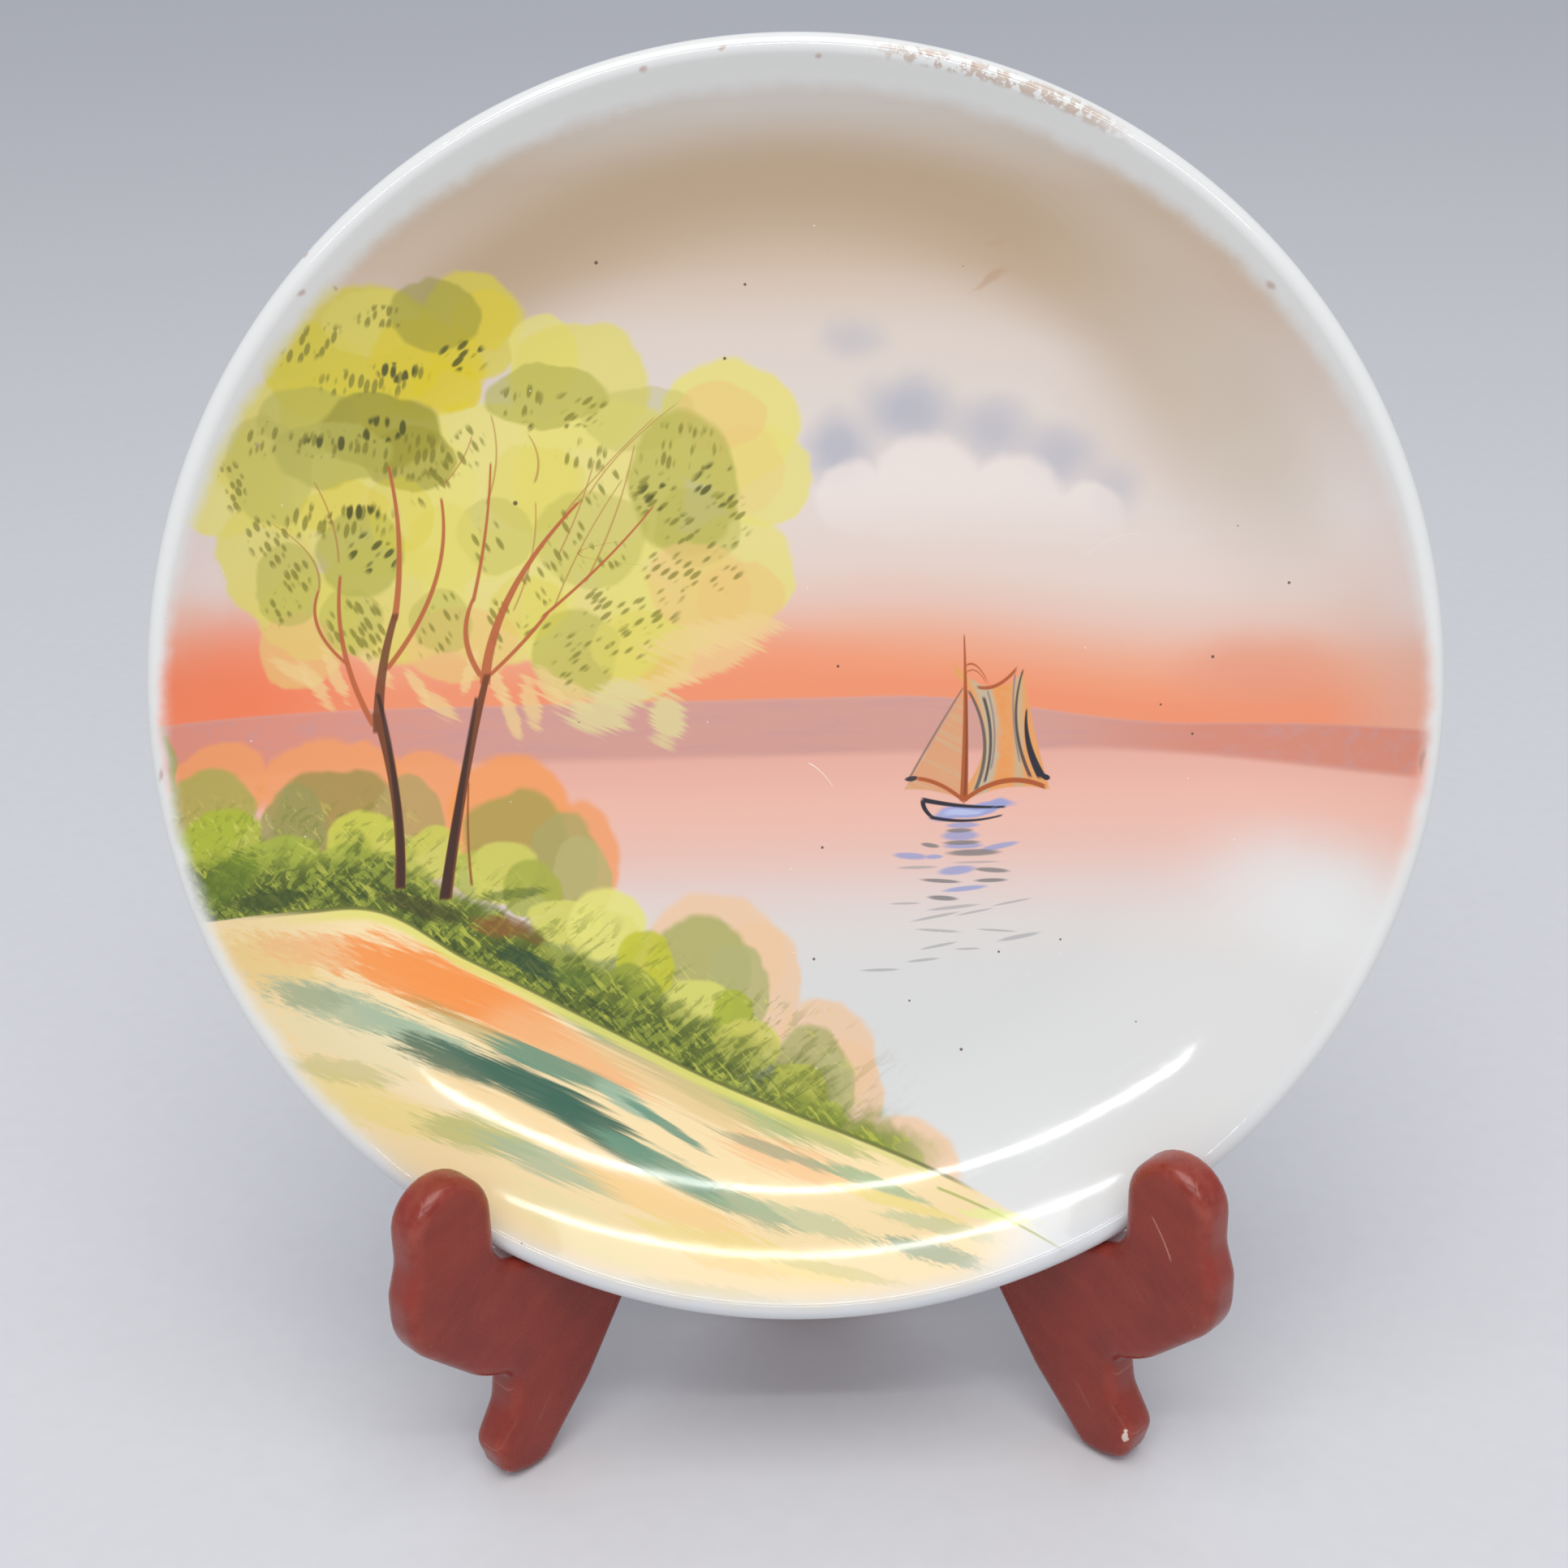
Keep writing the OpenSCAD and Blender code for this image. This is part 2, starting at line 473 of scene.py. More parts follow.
# %% Wires and boards
class Wire:
    """A number or a vector on its way from one node to another."""

    def __init__(self, board, socket):
        self.board = board
        self.socket = socket

    def math(self, operation, first, second=None):
        sockets = {0: first} if second is None else {0: first, 1: second}
        return self.board.node("ShaderNodeMath", {"operation": operation}, sockets)

    def __add__(self, other):
        return self.math("ADD", self, other)

    def __sub__(self, other):
        return self.math("SUBTRACT", self, other)

    def __mul__(self, other):
        return self.math("MULTIPLY", self, other)

    def __truediv__(self, other):
        return self.math("DIVIDE", self, other)

    def __rsub__(self, other):
        return self.math("SUBTRACT", other, self)

    def __abs__(self):
        return self.math("ABSOLUTE", self)

    def times_plus(self, factor, extra):
        """Itself times factor, plus extra, in one node."""
        sockets = {0: self, 1: factor, 2: extra}
        return self.board.node("ShaderNodeMath", {"operation": "MULTIPLY_ADD"}, sockets)

    def lower(self, other):
        return self.math("MINIMUM", self, other)

    def higher(self, other):
        return self.math("MAXIMUM", self, other)

    __radd__ = __add__
    __rmul__ = __mul__


class Board:
    """The nodes of one material."""

    def __init__(self, name):
        self.material = bpy.data.materials.new(name)
        self.material.use_nodes = True
        self.tree = self.material.node_tree
        self.tree.nodes.clear()

    def node(self, kind, settings=None, sockets=None, out=0):
        made = self.tree.nodes.new(kind)
        for name, value in (settings or {}).items():
            if name == "stops":
                self.set_stops(made.color_ramp, value)
            else:
                setattr(made, name, value)
        for key, value in (sockets or {}).items():
            if isinstance(value, Wire):
                self.tree.links.new(value.socket, made.inputs[key])
            else:
                made.inputs[key].default_value = value
        return Wire(self, made.outputs[out])

    def set_stops(self, ramp, stops):
        while len(ramp.elements) < len(stops):
            ramp.elements.new(0.5)
        for element, (place, colour) in zip(ramp.elements, stops):
            element.position = place
            element.color = colour

    def vector(self, x, y, z=0.0):
        return self.node("ShaderNodeCombineXYZ", None, {0: x, 1: y, 2: z})

    def mix(self, amount, a, b):
        """Colour a where amount is 0, colour b where it is 1."""
        return self.node("ShaderNodeMix", {"data_type": "RGBA"}, {0: amount, 6: a, 7: b}, out=2)

    def noise(self, where, size, detail=2.0, rough=0.5, swirl=0.0, out=0):
        """Noise whose lumps are about size across, in the units of where."""
        sockets = {"Vector": where, "Scale": 1 / size, "Detail": detail}
        sockets |= {"Roughness": rough, "Distortion": swirl}
        return self.node("ShaderNodeTexNoise", None, sockets, out=out)

    def cells(self, where, size, randomness=1.0):
        """The distance to the nearest of points strewn about size apart."""
        sockets = {"Vector": where, "Scale": 1 / size, "Randomness": randomness}
        return self.node("ShaderNodeTexVoronoi", {"feature": "F1"}, sockets)

    def map(self, where, place=(0, 0, 0), turn=(0, 0, 0), scale=(1, 1, 1)):
        """Where, as seen from a frame that stands at place, turned and scaled."""
        sockets = {"Vector": where, "Location": place, "Rotation": turn, "Scale": scale}
        return self.node("ShaderNodeMapping", {"vector_type": "TEXTURE"}, sockets)

    def split(self, vector):
        """The first and the last number of a vector."""
        first = self.node("ShaderNodeSeparateXYZ", None, {0: vector})
        return first, Wire(self, first.socket.node.outputs[2])

    def object_place(self):
        """The point of the piece that is being shaded, in metres."""
        return self.node("ShaderNodeTexCoord", out=3)

    def bump(self, strength, height, relief=0.0001):
        """The surface, tilted as if height stood out by relief metres."""
        sockets = {"Strength": strength, "Distance": relief, "Height": height}
        return self.node("ShaderNodeBump", None, sockets)

    def length(self, vector):
        return self.node("ShaderNodeVectorMath", {"operation": "LENGTH"}, {0: vector}, out=1)

    def dot(self, vector, other):
        return self.node("ShaderNodeVectorMath", {"operation": "DOT_PRODUCT"}, {0: vector, 1: other}, out=1)

    def stretch(self, vector, factors, shift):
        """A vector times factors, plus shift."""
        sockets = {0: vector, 1: factors, 2: shift}
        return self.node("ShaderNodeVectorMath", {"operation": "MULTIPLY_ADD"}, sockets)

    def finish(self, **sockets):
        """The surface shader and the output."""
        surface = self.node("ShaderNodeBsdfPrincipled", None, sockets)
        output = self.tree.nodes.new("ShaderNodeOutputMaterial")
        self.tree.links.new(surface.socket, output.inputs["Surface"])
        return self.material


def ease(value, start, end, top=1.0):
    """0 before start, top past end, and smooth between them. Start may be above end."""
    sockets = {"Value": value, "From Min": start, "From Max": end, "To Max": top}
    settings = {"interpolation_type": "SMOOTHSTEP", "clamp": False}
    return value.board.node("ShaderNodeMapRange", settings, sockets)


def tone(red, green, blue):
    """A colour from its values between 0 and 255 on a screen."""
    def linear(v):
        v = v / 255
        return v / 12.92 if v <= 0.04045 else ((v + 0.055) / 1.055) ** 2.4
    return (linear(red), linear(green), linear(blue), 1.0)


print("a white of 226 is", round(tone(226, 226, 226)[0], 3))

# %% [markdown]
# The decoration was painted by hand in onglaze colours: an airbrushed sky, then blobs of a round brush for
# leaves and bushes, then thin strokes of a liner for trunks and rigging. The same order works here. Each
# touch of the brush is a mask in a flat frame on the plate's face, measured in millimetres from its centre,
# with x to the right and y up, and each mask covers what was painted before it.

# %% The painter's tools
GLAZE_WHITE = tone(226, 226, 222)


class Painter:
    """Covers a colour with touches of the brush, one after another."""

    def __init__(self, board, face, base):
        self.board = board
        self.face = face
        self.paint = base
        self.frames = {}
        self.hair = board.noise(self.grain(-27, 24.0, 0.5), 1.0, 4.0, 0.65)
        self.dry = ease(board.noise(face, 1.3, 3.0, 0.6), 0.25, 0.7)
        wobble = board.noise(face, 7.0, 2.0, out=1)
        self.x, self.y = board.split(face)
        self.flat = board.vector(self.x, self.y)
        self.reach = board.length(self.flat)
        shaken = board.stretch(wobble, (3.4, 3.4, 0), (-1.7, -1.7, 0))
        self.loose = board.node("ShaderNodeVectorMath", {"operation": "ADD"}, {0: self.flat, 1: shaken})
        self.bristle = self.hair.times_plus(1.7, -0.85)

    def grain(self, degrees, along, across):
        """The face, stretched so that a noise on it runs in streaks at an angle."""
        return self.board.map(self.face, turn=(0, math.radians(-degrees), 0), scale=(along, 1, across))

    def touch(self, colour, mask):
        self.paint = self.board.mix(mask, self.paint, colour)

    def turned(self, degrees, crisp):
        """The flat frame, turned, and shared by all touches at that angle."""
        source = self.flat if crisp else self.loose
        if degrees == 0:
            return source
        if (degrees, crisp) not in self.frames:
            c, s = math.cos(math.radians(degrees)), math.sin(math.radians(degrees))
            along = self.board.dot(source, (c, s, 0))
            across = self.board.dot(source, (-s, c, 0))
            self.frames[degrees, crisp] = self.board.vector(along, across)
        return self.frames[degrees, crisp]

    def spot(self, centre, radii, degrees=0, crisp=False):
        """0 in the middle of an ellipse and 1 on its edge. Angles go in steps of 5 degrees."""
        degrees = 5 * round(degrees / 5)
        c, s = math.cos(math.radians(degrees)), math.sin(math.radians(degrees))
        along = c * centre[0] + s * centre[1]
        across = c * centre[1] - s * centre[0]
        place = self.board.stretch(
            self.turned(degrees, crisp),
            (1 / radii[0], 1 / radii[1], 0),
            (-along / radii[0], -across / radii[1], 0),
        )
        return self.board.length(place)

    def nearest(self, spots, crisp=False):
        """The least of several spots, so that they read as one shape."""
        least = None
        for x, y, wide, high, degrees in spots:
            rho = self.spot((x, y), (wide, high), degrees, crisp)
            least = rho if least is None else least.lower(rho)
        return least

    def blob(self, centre, radii, colour, strength=0.9, soft=0.12, degrees=0):
        """A wet touch of a round brush, with a crisp edge."""
        self.touch(colour, ease(self.spot(centre, radii, degrees), 1.0, 1.0 - soft, strength))

    def haze(self, centre, radii, colour, strength, degrees=0):
        """A soft airbrushed patch."""
        self.touch(colour, ease(self.spot(centre, radii, degrees), 1.0, 0.1, strength))

    def swipe(self, centre, radii, degrees, colour, strength=0.9):
        """A flat brush drawn along its length, which leaves the marks of its hairs."""
        self.touch(colour, ease(self.spot(centre, radii, degrees, True) + self.bristle, 1.1, 0.6, strength))

    def line(self, along, across, points, widths, colour, strength=1.0, soft=0.12):
        """A stroke of the liner through three points, given as (along, across) in millimetres."""
        (t0, v0), (t1, v1), (t2, v2) = points
        bow = ((v2 - v0) / (t2 - t0) - (v1 - v0) / (t1 - t0)) / (t2 - t1)
        slope = (v1 - v0) / (t1 - t0) - bow * (t0 + t1)
        centre = along.times_plus(bow, slope).times_plus(along, v0 - slope * t0 - bow * t0 * t0)
        taper = (widths[1] - widths[0]) / (t2 - t0)
        width = along.times_plus(taper, widths[0] - taper * t0)
        body = ease(abs(across - centre) - width, soft, -soft, strength)
        half = abs(t2 - t0) / 2
        ends = ease(abs(along - (t0 + t2) / 2), half + 0.35, half - 0.35)
        self.touch(colour, body * ends)

    def upright_line(self, points, widths, colour, strength=1.0, soft=0.12):
        """A stroke that climbs: points are (height, place across)."""
        self.line(self.y, self.x, points, widths, colour, strength, soft)

    def level_line(self, points, widths, colour, strength=1.0, soft=0.12):
        """A stroke that runs across: points are (place across, height)."""
        self.line(self.x, self.y, points, widths, colour, strength, soft)


# %% [markdown]
# The sky was sprayed. It runs from grey-white under the lip through tan and rose to the orange of the
# sunset, and the lake below takes the same colours back to white. The tan under the lip is partly sprayed
# colour and partly painted shade and reflection of the upper wall. Two colour ramps hold those changes. The
# far shore is a mauve band between them whose edge sinks to the right.

# %% Sky, far shore and lake
EDGE = 95


def ramp(board, height, stops):
    """A colour that changes with the height on the plate, from one edge to the other."""
    placed = [((at + EDGE) / (2 * EDGE), tone(*colour)) for at, colour in stops]
    return board.node("ShaderNodeValToRGB", {"stops": placed}, {"Fac": (height + EDGE) / (2 * EDGE)})


def paint_sky(p):
    board = p.board
    sink = ease(p.x, 14, 62) * 5.4
    height = p.y + sink
    # The tan stops near the top are partly sprayed colour and partly painted shade and reflection of the
    # upper wall.
    sky = ramp(board, height, (
        (-4, (241, 146, 104)), (2, (241, 148, 108)), (5, (240, 157, 118)), (9, (237, 172, 142)),
        (14, (231, 194, 176)), (20, (228, 208, 196)), (32, (226, 214, 206)), (44, (222, 210, 200)),
        (54, (220, 206, 194)), (64, (212, 189, 166)), (76, (205, 184, 160)), (90, (214, 210, 204)),
    ))
    lake = ramp(board, p.y, (
        (-60, (221, 221, 217)), (-44, (220, 219, 215)), (-36, (224, 217, 210)), (-30, (229, 207, 198)),
        (-24, (235, 193, 177)), (-17, (239, 186, 167)), (-10, (232, 174, 156)), (0, (226, 170, 152)),
    ))
    p.touch(sky, 1.0)
    p.haze((-84, 4), (26, 17), tone(246, 122, 78), 0.75)
    p.haze((-6, 5), (30, 7), tone(243, 146, 104), 0.5)
    p.touch(tone(222, 178, 160), ease(p.x, 76, 92, 0.6) * ease(abs(p.y), 26, 8))
    p.haze((70, 2), (18, 9), tone(230, 150, 122), 0.6)
    p.touch(tone(226, 213, 206), ease(p.x, 80, 93, 0.8) * ease(p.y, 4, 14))
    # Partly painted shade: a tan haze on the upper right wall, laid over the sprayed sky.
    p.haze((62, 44), (26, 30), tone(204, 182, 162), 0.6, 20)
    p.haze((-86, 26), (9, 12), tone(228, 208, 204), 0.6)
    wash = ease(height, -0.1, -0.9)
    p.touch(lake, wash)
    bottom = ease(p.x, 40, 92) * -3.6 - 9.0
    shore = wash * ease(p.y - bottom, -0.9, 0.7)
    p.touch(tone(212, 156, 142), shore)
    p.touch(tone(226, 136, 110), shore * ease(p.x, -30, -92, 0.7))
    p.touch(tone(216, 134, 108), shore * ease(p.x, 34, 66, 0.8))
    p.touch(tone(202, 150, 146), shore * ease(board.noise(p.grain(0, 14, 1.6), 1.0), 0.45, 0.7) * 0.45)
    p.haze((80, -34), (26, 16), tone(228, 229, 226), 0.9, -20)
    p.blob((93, -14), (4, 8), tone(238, 158, 136), 0.7, 0.6, -8)


def paint_clouds_and_rim_shade(p):
    # Partly painted shade: the tan band round the upper wall, grey at its right end, is sprayed colour and
    # also painted shade and dark reflection of the wall that faces down.
    rim_tan_and_shade = ease(p.reach, 62, 75) * ease(p.reach, 86, 77) * ease(p.y, 8, 52)
    p.touch(tone(188, 160, 126), rim_tan_and_shade * ease(p.x, 66, 30).times_plus(0.3, 0.5))
    rim_grey_and_shade = ease(p.reach, 62, 75) * ease(p.reach, 88, 77) * ease(p.x, 30, 66)
    p.touch(tone(214, 206, 192), rim_grey_and_shade * ease(p.y, 10, 34, 0.4))
    blue = tone(170, 173, 186)
    for centre, radii, strength in (
        ((10, 53), (7, 5), 0.4), ((7, 37), (7.5, 8), 0.75), ((18, 42), (10, 8), 0.75),
        ((30, 39), (9, 7), 0.6), ((40, 35), (9, 7), 0.6), ((48, 30), (6, 6), 0.4),
    ):
        p.haze(centre, radii, blue, strength)
    billows = ((9, 29.5, 5.5, 6, 0), (20, 29, 10, 10.5, 0), (33, 27, 9, 9.5, 0), (44, 25, 6.5, 6.5, 0))
    p.touch(tone(235, 223, 214), ease(p.nearest(billows), 1.02, 0.75, 0.8) * ease(p.y, 20, 32))
    p.blob((30, 61), (4.5, 0.9), tone(190, 154, 122), 0.55, 0.7, 32)
    p.blob((31, 66), (2.4, 0.7), tone(190, 158, 130), 0.45, 0.7, 8)


# %% [markdown]
# The trees are clouds of wet colour: pale yellow-green blobs laid edge to edge, warm yellow and olive ones
# over them, and rows of small dark dabs for leaves. The dabs come from a cell pattern that shows only
# inside chosen patches. The trunks rise through all of it.

# %% Foliage
PALE = tone(229, 217, 118)
LIGHT = tone(224, 211, 98)
YELLOW = tone(218, 202, 54)
GOLD = tone(222, 200, 30)
OLIVE = tone(184, 178, 78)
MOSS = tone(160, 152, 44)
PEACH = tone(234, 194, 118)


def paint_foliage(p):
    for centre, radii, colour, strength in (
        ((-82, 35), (8, 8.5), PALE, 0.9), ((-77, 23), (7, 10), LIGHT, 0.85),
        ((-72, 14), (8, 7), LIGHT, 0.8),
        ((-62, 53), (13, 10), YELLOW, 0.85), ((-46, 56), (8, 8.2), YELLOW, 0.8),
        ((-36, 51), (5, 7), PALE, 0.8),
        ((-31, 47), (11, 10), LIGHT, 0.8), ((-9, 41), (11, 10), PALE, 0.9),
        ((-4, 33), (8, 8), PALE, 0.85),
        ((-8, 19), (9, 9), PALE, 0.85), ((-18, 16), (11, 10), PALE, 0.85),
        ((-72, 38), (12, 12), LIGHT, 0.9),
        ((-60, 32), (14, 14), PALE, 0.85), ((-45, 32), (14, 14), PALE, 0.9),
        ((-28, 32), (14, 14), PALE, 0.9),
        ((-60, 16), (12, 10), LIGHT, 0.85), ((-44, 16), (12, 11), PALE, 0.85),
        ((-30, 12), (12, 12), PALE, 0.85),
        ((-74, 9), (6, 6), PEACH, 0.7), ((-50, 9), (9, 6), PEACH, 0.7), ((-22, 7), (7, 7), LIGHT, 0.7),
        ((-68, 50), (7, 7), YELLOW, 0.8), ((-60, 57), (7, 5), LIGHT, 0.6), ((-53, 50), (9, 8), GOLD, 0.7),
        ((-44, 57), (5, 4.5), GOLD, 0.55), ((-66, 44), (8, 6), YELLOW, 0.7),
        ((-50, 47), (5, 4), GOLD, 0.7),
        ((-76, 36), (6, 8), OLIVE, 0.5), ((-70, 43), (7, 5), OLIVE, 0.6),
        ((-51, 57.5), (7, 5.5), MOSS, 0.65),
        ((-60, 41), (9, 6), MOSS, 0.85), ((-56, 37), (7, 5), MOSS, 0.7), ((-67, 38), (9, 5), OLIVE, 0.75),
        ((-66, 30), (7, 4), GOLD, 0.4), ((-64, 23), (7, 7), OLIVE, 0.8), ((-75, 19), (5, 7), OLIVE, 0.6),
        ((-36, 45.5), (9.5, 4.6), OLIVE, 0.75), ((-22, 42), (9, 5), OLIVE, 0.4),
        ((-10, 42), (6.5, 5.5), PEACH, 0.55),
        ((-6, 34), (6, 7), PEACH, 0.3), ((-16, 32), (9, 11), OLIVE, 0.75),
        ((-14, 26), (7, 6), OLIVE, 0.5),
        ((-38, 32), (8, 7), YELLOW, 0.3), ((-44, 25), (6, 6), OLIVE, 0.4),
        ((-30, 24), (9, 8), OLIVE, 0.45),
        ((-52, 24), (6, 7), LIGHT, 0.5), ((-14, 17), (8, 7), PEACH, 0.6), ((-8, 15), (7, 6), PEACH, 0.6),
        ((-33, 7), (7, 7), OLIVE, 0.65), ((-25, 8), (6, 5), LIGHT, 0.6), ((-53, 13), (5, 5), OLIVE, 0.5),
        ((-66, 13), (5, 5), OLIVE, 0.5), ((-58, 29), (5, 6), YELLOW, 0.4),
        ((-40, 14), (6, 5), YELLOW, 0.35),
    ):
        p.blob(centre, radii, colour, strength)
    fringe = tone(238, 206, 140)
    for x, y, wide, high, degrees in (
        (-72, 4, 4.5, 1.3, -60), (-75, 6, 4, 1.2, -40), (-69, 5, 5, 1.1, -70), (-63, 6, 4, 1.3, -50),
        (-54, 0, 4.2, 1.5, -40), (-57, 3, 4, 1.1, -60), (-49, 5, 4, 1.0, 70), (-43, -2, 4.4, 1.2, -75),
        (-40, 0, 4.6, 1.5, -80), (-37, 2, 4, 1.6, -60), (-45, 3, 4, 1.2, -70), (-34, 1, 4, 2, -30),
        (-12, 6, 9, 2.6, 18), (-14, 9, 9, 3, 12), (-22, 2, 8, 1.6, 8), (-8, 10, 7, 2.4, 10),
    ):
        p.swipe((x, y), (wide, high), degrees, fringe, 0.7)
    for x, y, wide, high in ((-29.5, -2, 5.4, 3.2), (-19.5, -3, 3.0, 4.4), (-26, 1, 5, 2.5)):
        p.swipe((x, y), (wide, high), 0, tone(224, 210, 148), 0.85)


def paint_dabs(p):
    """Rows of small leaf dabs inside patches: angle, spacing across and along, colour, strength."""
    board = p.board
    dark, mid = tone(84, 84, 22), tone(128, 122, 34)
    sets = (
        (78, (1.05, 3.0), mid, 0.75, (
            (-57, 49.5, 5, 2.2, 0), (-66, 39.5, 9, 2.2, 0), (-56, 37.5, 6, 3.6, 0), (-40, 45, 4, 2.4, 0),
            (-65, 28, 6.5, 3, 0), (-62, 48, 6.5, 2.4, 0), (-58, 57.5, 4, 1.8, 0), (-68, 54, 5, 2.2, 30),
            (-76, 40, 4, 2.0, 20), (-31, 37, 4.5, 2.6, 0), (-16, 37, 7, 4, 0), (-72, 29, 3, 3, 0),
        )),
        (35, (1.0, 2.7), mid, 0.75, (
            (-31, 43.5, 4.5, 3, 0), (-20, 30, 4.5, 3.6, -20), (-15, 24.5, 4.5, 3.2, -30),
            (-13, 19.5, 6.5, 3, -15),
            (-19, 18.5, 3, 4, 0), (-9, 27, 3.5, 4.5, 0), (-22, 13, 5, 3, 0), (-29, 14, 3, 3.6, 0),
            (-32, 6, 4.5, 4.5, 0), (-24, 8, 4.5, 3.2, 0), (-38, 11, 3, 3, 0),
        )),
        (118, (1.05, 2.9), mid, 0.75, (
            (-53, 33.5, 4.5, 2.2, 45), (-48, 38, 4, 2.6, 50), (-81, 34, 1.8, 4, 0),
            (-75, 17.5, 6.5, 2.2, 60),
            (-77, 26, 3, 4.5, 0), (-45, 24, 3.4, 4, 0), (-36, 22, 4, 2.4, 40), (-28, 22, 4.5, 2.6, 10),
            (-65, 12, 5, 4.5, 0), (-53, 12.5, 6, 2.6, 60), (-44, 12, 5, 3, 60), (-38, 17, 4.6, 2.6, 55),
            (-32, 27, 5, 2.4, 45), (-26, 33, 5, 2.2, 40),
        )),
        (86, (1.3, 3.4), dark, 0.95, (
            (-59.5, 41.6, 4.2, 2.0, 0), (-57, 49.8, 3.4, 1.4, 0), (-65, 28.8, 4.4, 1.8, 0),
            (-67, 39.8, 4.2, 1.4, 0),
        )),
        (40, (1.2, 3.0), dark, 0.9, (
            (-47.5, 51.8, 3.6, 2.8, 0), (-39.2, 39.6, 2.6, 2.4, 0), (-62, 23, 4, 3, -40),
            (-10.5, 32, 3.6, 3.6, 0),
            (-31.5, 40.6, 2.4, 1.2, -20), (-20, 30, 3.2, 2.2, -30),
        )),
    )
    for degrees, spacing, colour, strength, patches in sets:
        dab = board.cells(p.grain(degrees - 90, *spacing), 1.0, 0.6)
        region = p.nearest(patches)
        p.touch(colour, ease(dab, 0.50, 0.30) * ease(region, 1.1, 0.75, strength))


# %% [markdown]
# Trunks and branches are single strokes of a liner brush: dark brown at the foot, where it was full, and
# red-brown and dry towards the twigs. Each stroke passes through three points.

# %% Trunks and branches
def paint_trunks(p):
    twig, branch = tone(176, 120, 62), tone(186, 98, 54)
    brown, dark = tone(120, 66, 34), tone(64, 38, 24)
    for points, widths in (
        (((28, -34), (35, -27.5), (42, -20)), (0.16, 0.1)),
        (((31, -30), (38, -24), (44, -16.5)), (0.14, 0.1)),
        (((18, -31), (26, -27), (38, -23)), (0.16, 0.1)),
        (((14, -36), (24, -31), (33, -25)), (0.14, 0.1)),
        (((22, -35), (28, -32), (36, -29)), (0.14, 0.1)),
        (((30, -45.3), (36, -43.6), (43, -44)), (0.16, 0.1)),
        (((33, -38), (37, -37.4), (40, -38.6)), (0.2, 0.1)),
        (((14, -42), (24, -38.5), (30, -38)), (0.14, 0.1)),
        (((22, -67.5), (28, -68), (34, -70)), (0.16, 0.1)),
        (((18, -70.6), (24, -72), (28, -76)), (0.16, 0.1)),
        (((24, -25), (20.5, -24), (20, -19)), (0.2, 0.1)),
        (((33, -51.5), (36, -49), (40, -47)), (0.16, 0.1)),
    ):
        p.upright_line(points, widths, twig, 0.7)
    for points, widths in (
        (((-3, -63.8), (5, -66.8), (20, -67.4)), (0.5, 0.22)),
        (((6.6, -67.2), (9.5, -69.7), (18, -70.6)), (0.35, 0.18)),
        (((13, -59.9), (24, -58.6), (36, -59.4)), (0.5, 0.22)),
        (((5.5, -61.6), (11, -57.4), (31, -52)), (0.5, 0.2)),
        (((3, -46.8), (14, -43.6), (30, -31.5)), (0.8, 0.3)),
        (((4, -47.2), (9, -49.2), (16, -47.9)), (0.5, 0.28)),
        (((15.5, -48.0), (25, -45.8), (36, -44.4)), (0.3, 0.15)),
        (((4, -46.4), (9, -41), (13.4, -37)), (0.45, 0.35)),
        (((13, -37.6), (18, -31.5), (29, -20.5)), (0.4, 0.15)),
    ):
        p.upright_line(points, widths, branch, 0.95)
    p.upright_line(((-4, -63.2), (4, -62.4), (14, -59.7)), (0.85, 0.5), brown, 0.95)
    p.upright_line(((-30, -54.4), (-14, -51.2), (4.5, -46.4)), (0.95, 0.5), brown)
    p.upright_line(((-28, -61.2), (-14, -61.2), (-1, -63.5)), (0.8, 0.6), brown)
    p.upright_line(((-30, -54.6), (-14, -51.4), (1, -48.2)), (0.8, 0.25), dark, 0.95, 0.2)
    p.upright_line(((-28, -61.1), (-14, -61.0), (2, -63.0)), (0.65, 0.3), dark, 0.95, 0.2)
    p.upright_line(((-28, -50.3), (-22, -50.5), (-12, -50.0)), (0.22, 0.14), tone(150, 84, 36), 0.9)


# %% [markdown]
# The bank of bushes is built up from the back: a halo of orange, grey-green domes, bright yellow-green
# domes, and last a mass of short dark strokes along the edge of the hill.

# %% Bushes on the bank
def hill_edge(p):
    """How far a point is above the edge of the hill, in millimetres."""
    steep = ease(p.x, -74, -52)
    high = (p.x + 88) * -0.03 - 29.8
    low = (p.x + 50) * -0.555 - 40.2
    lift = ease(p.x, -20, 34) * 5.6
    return p.y - (high * (1 - steep) + (low + lift) * steep)


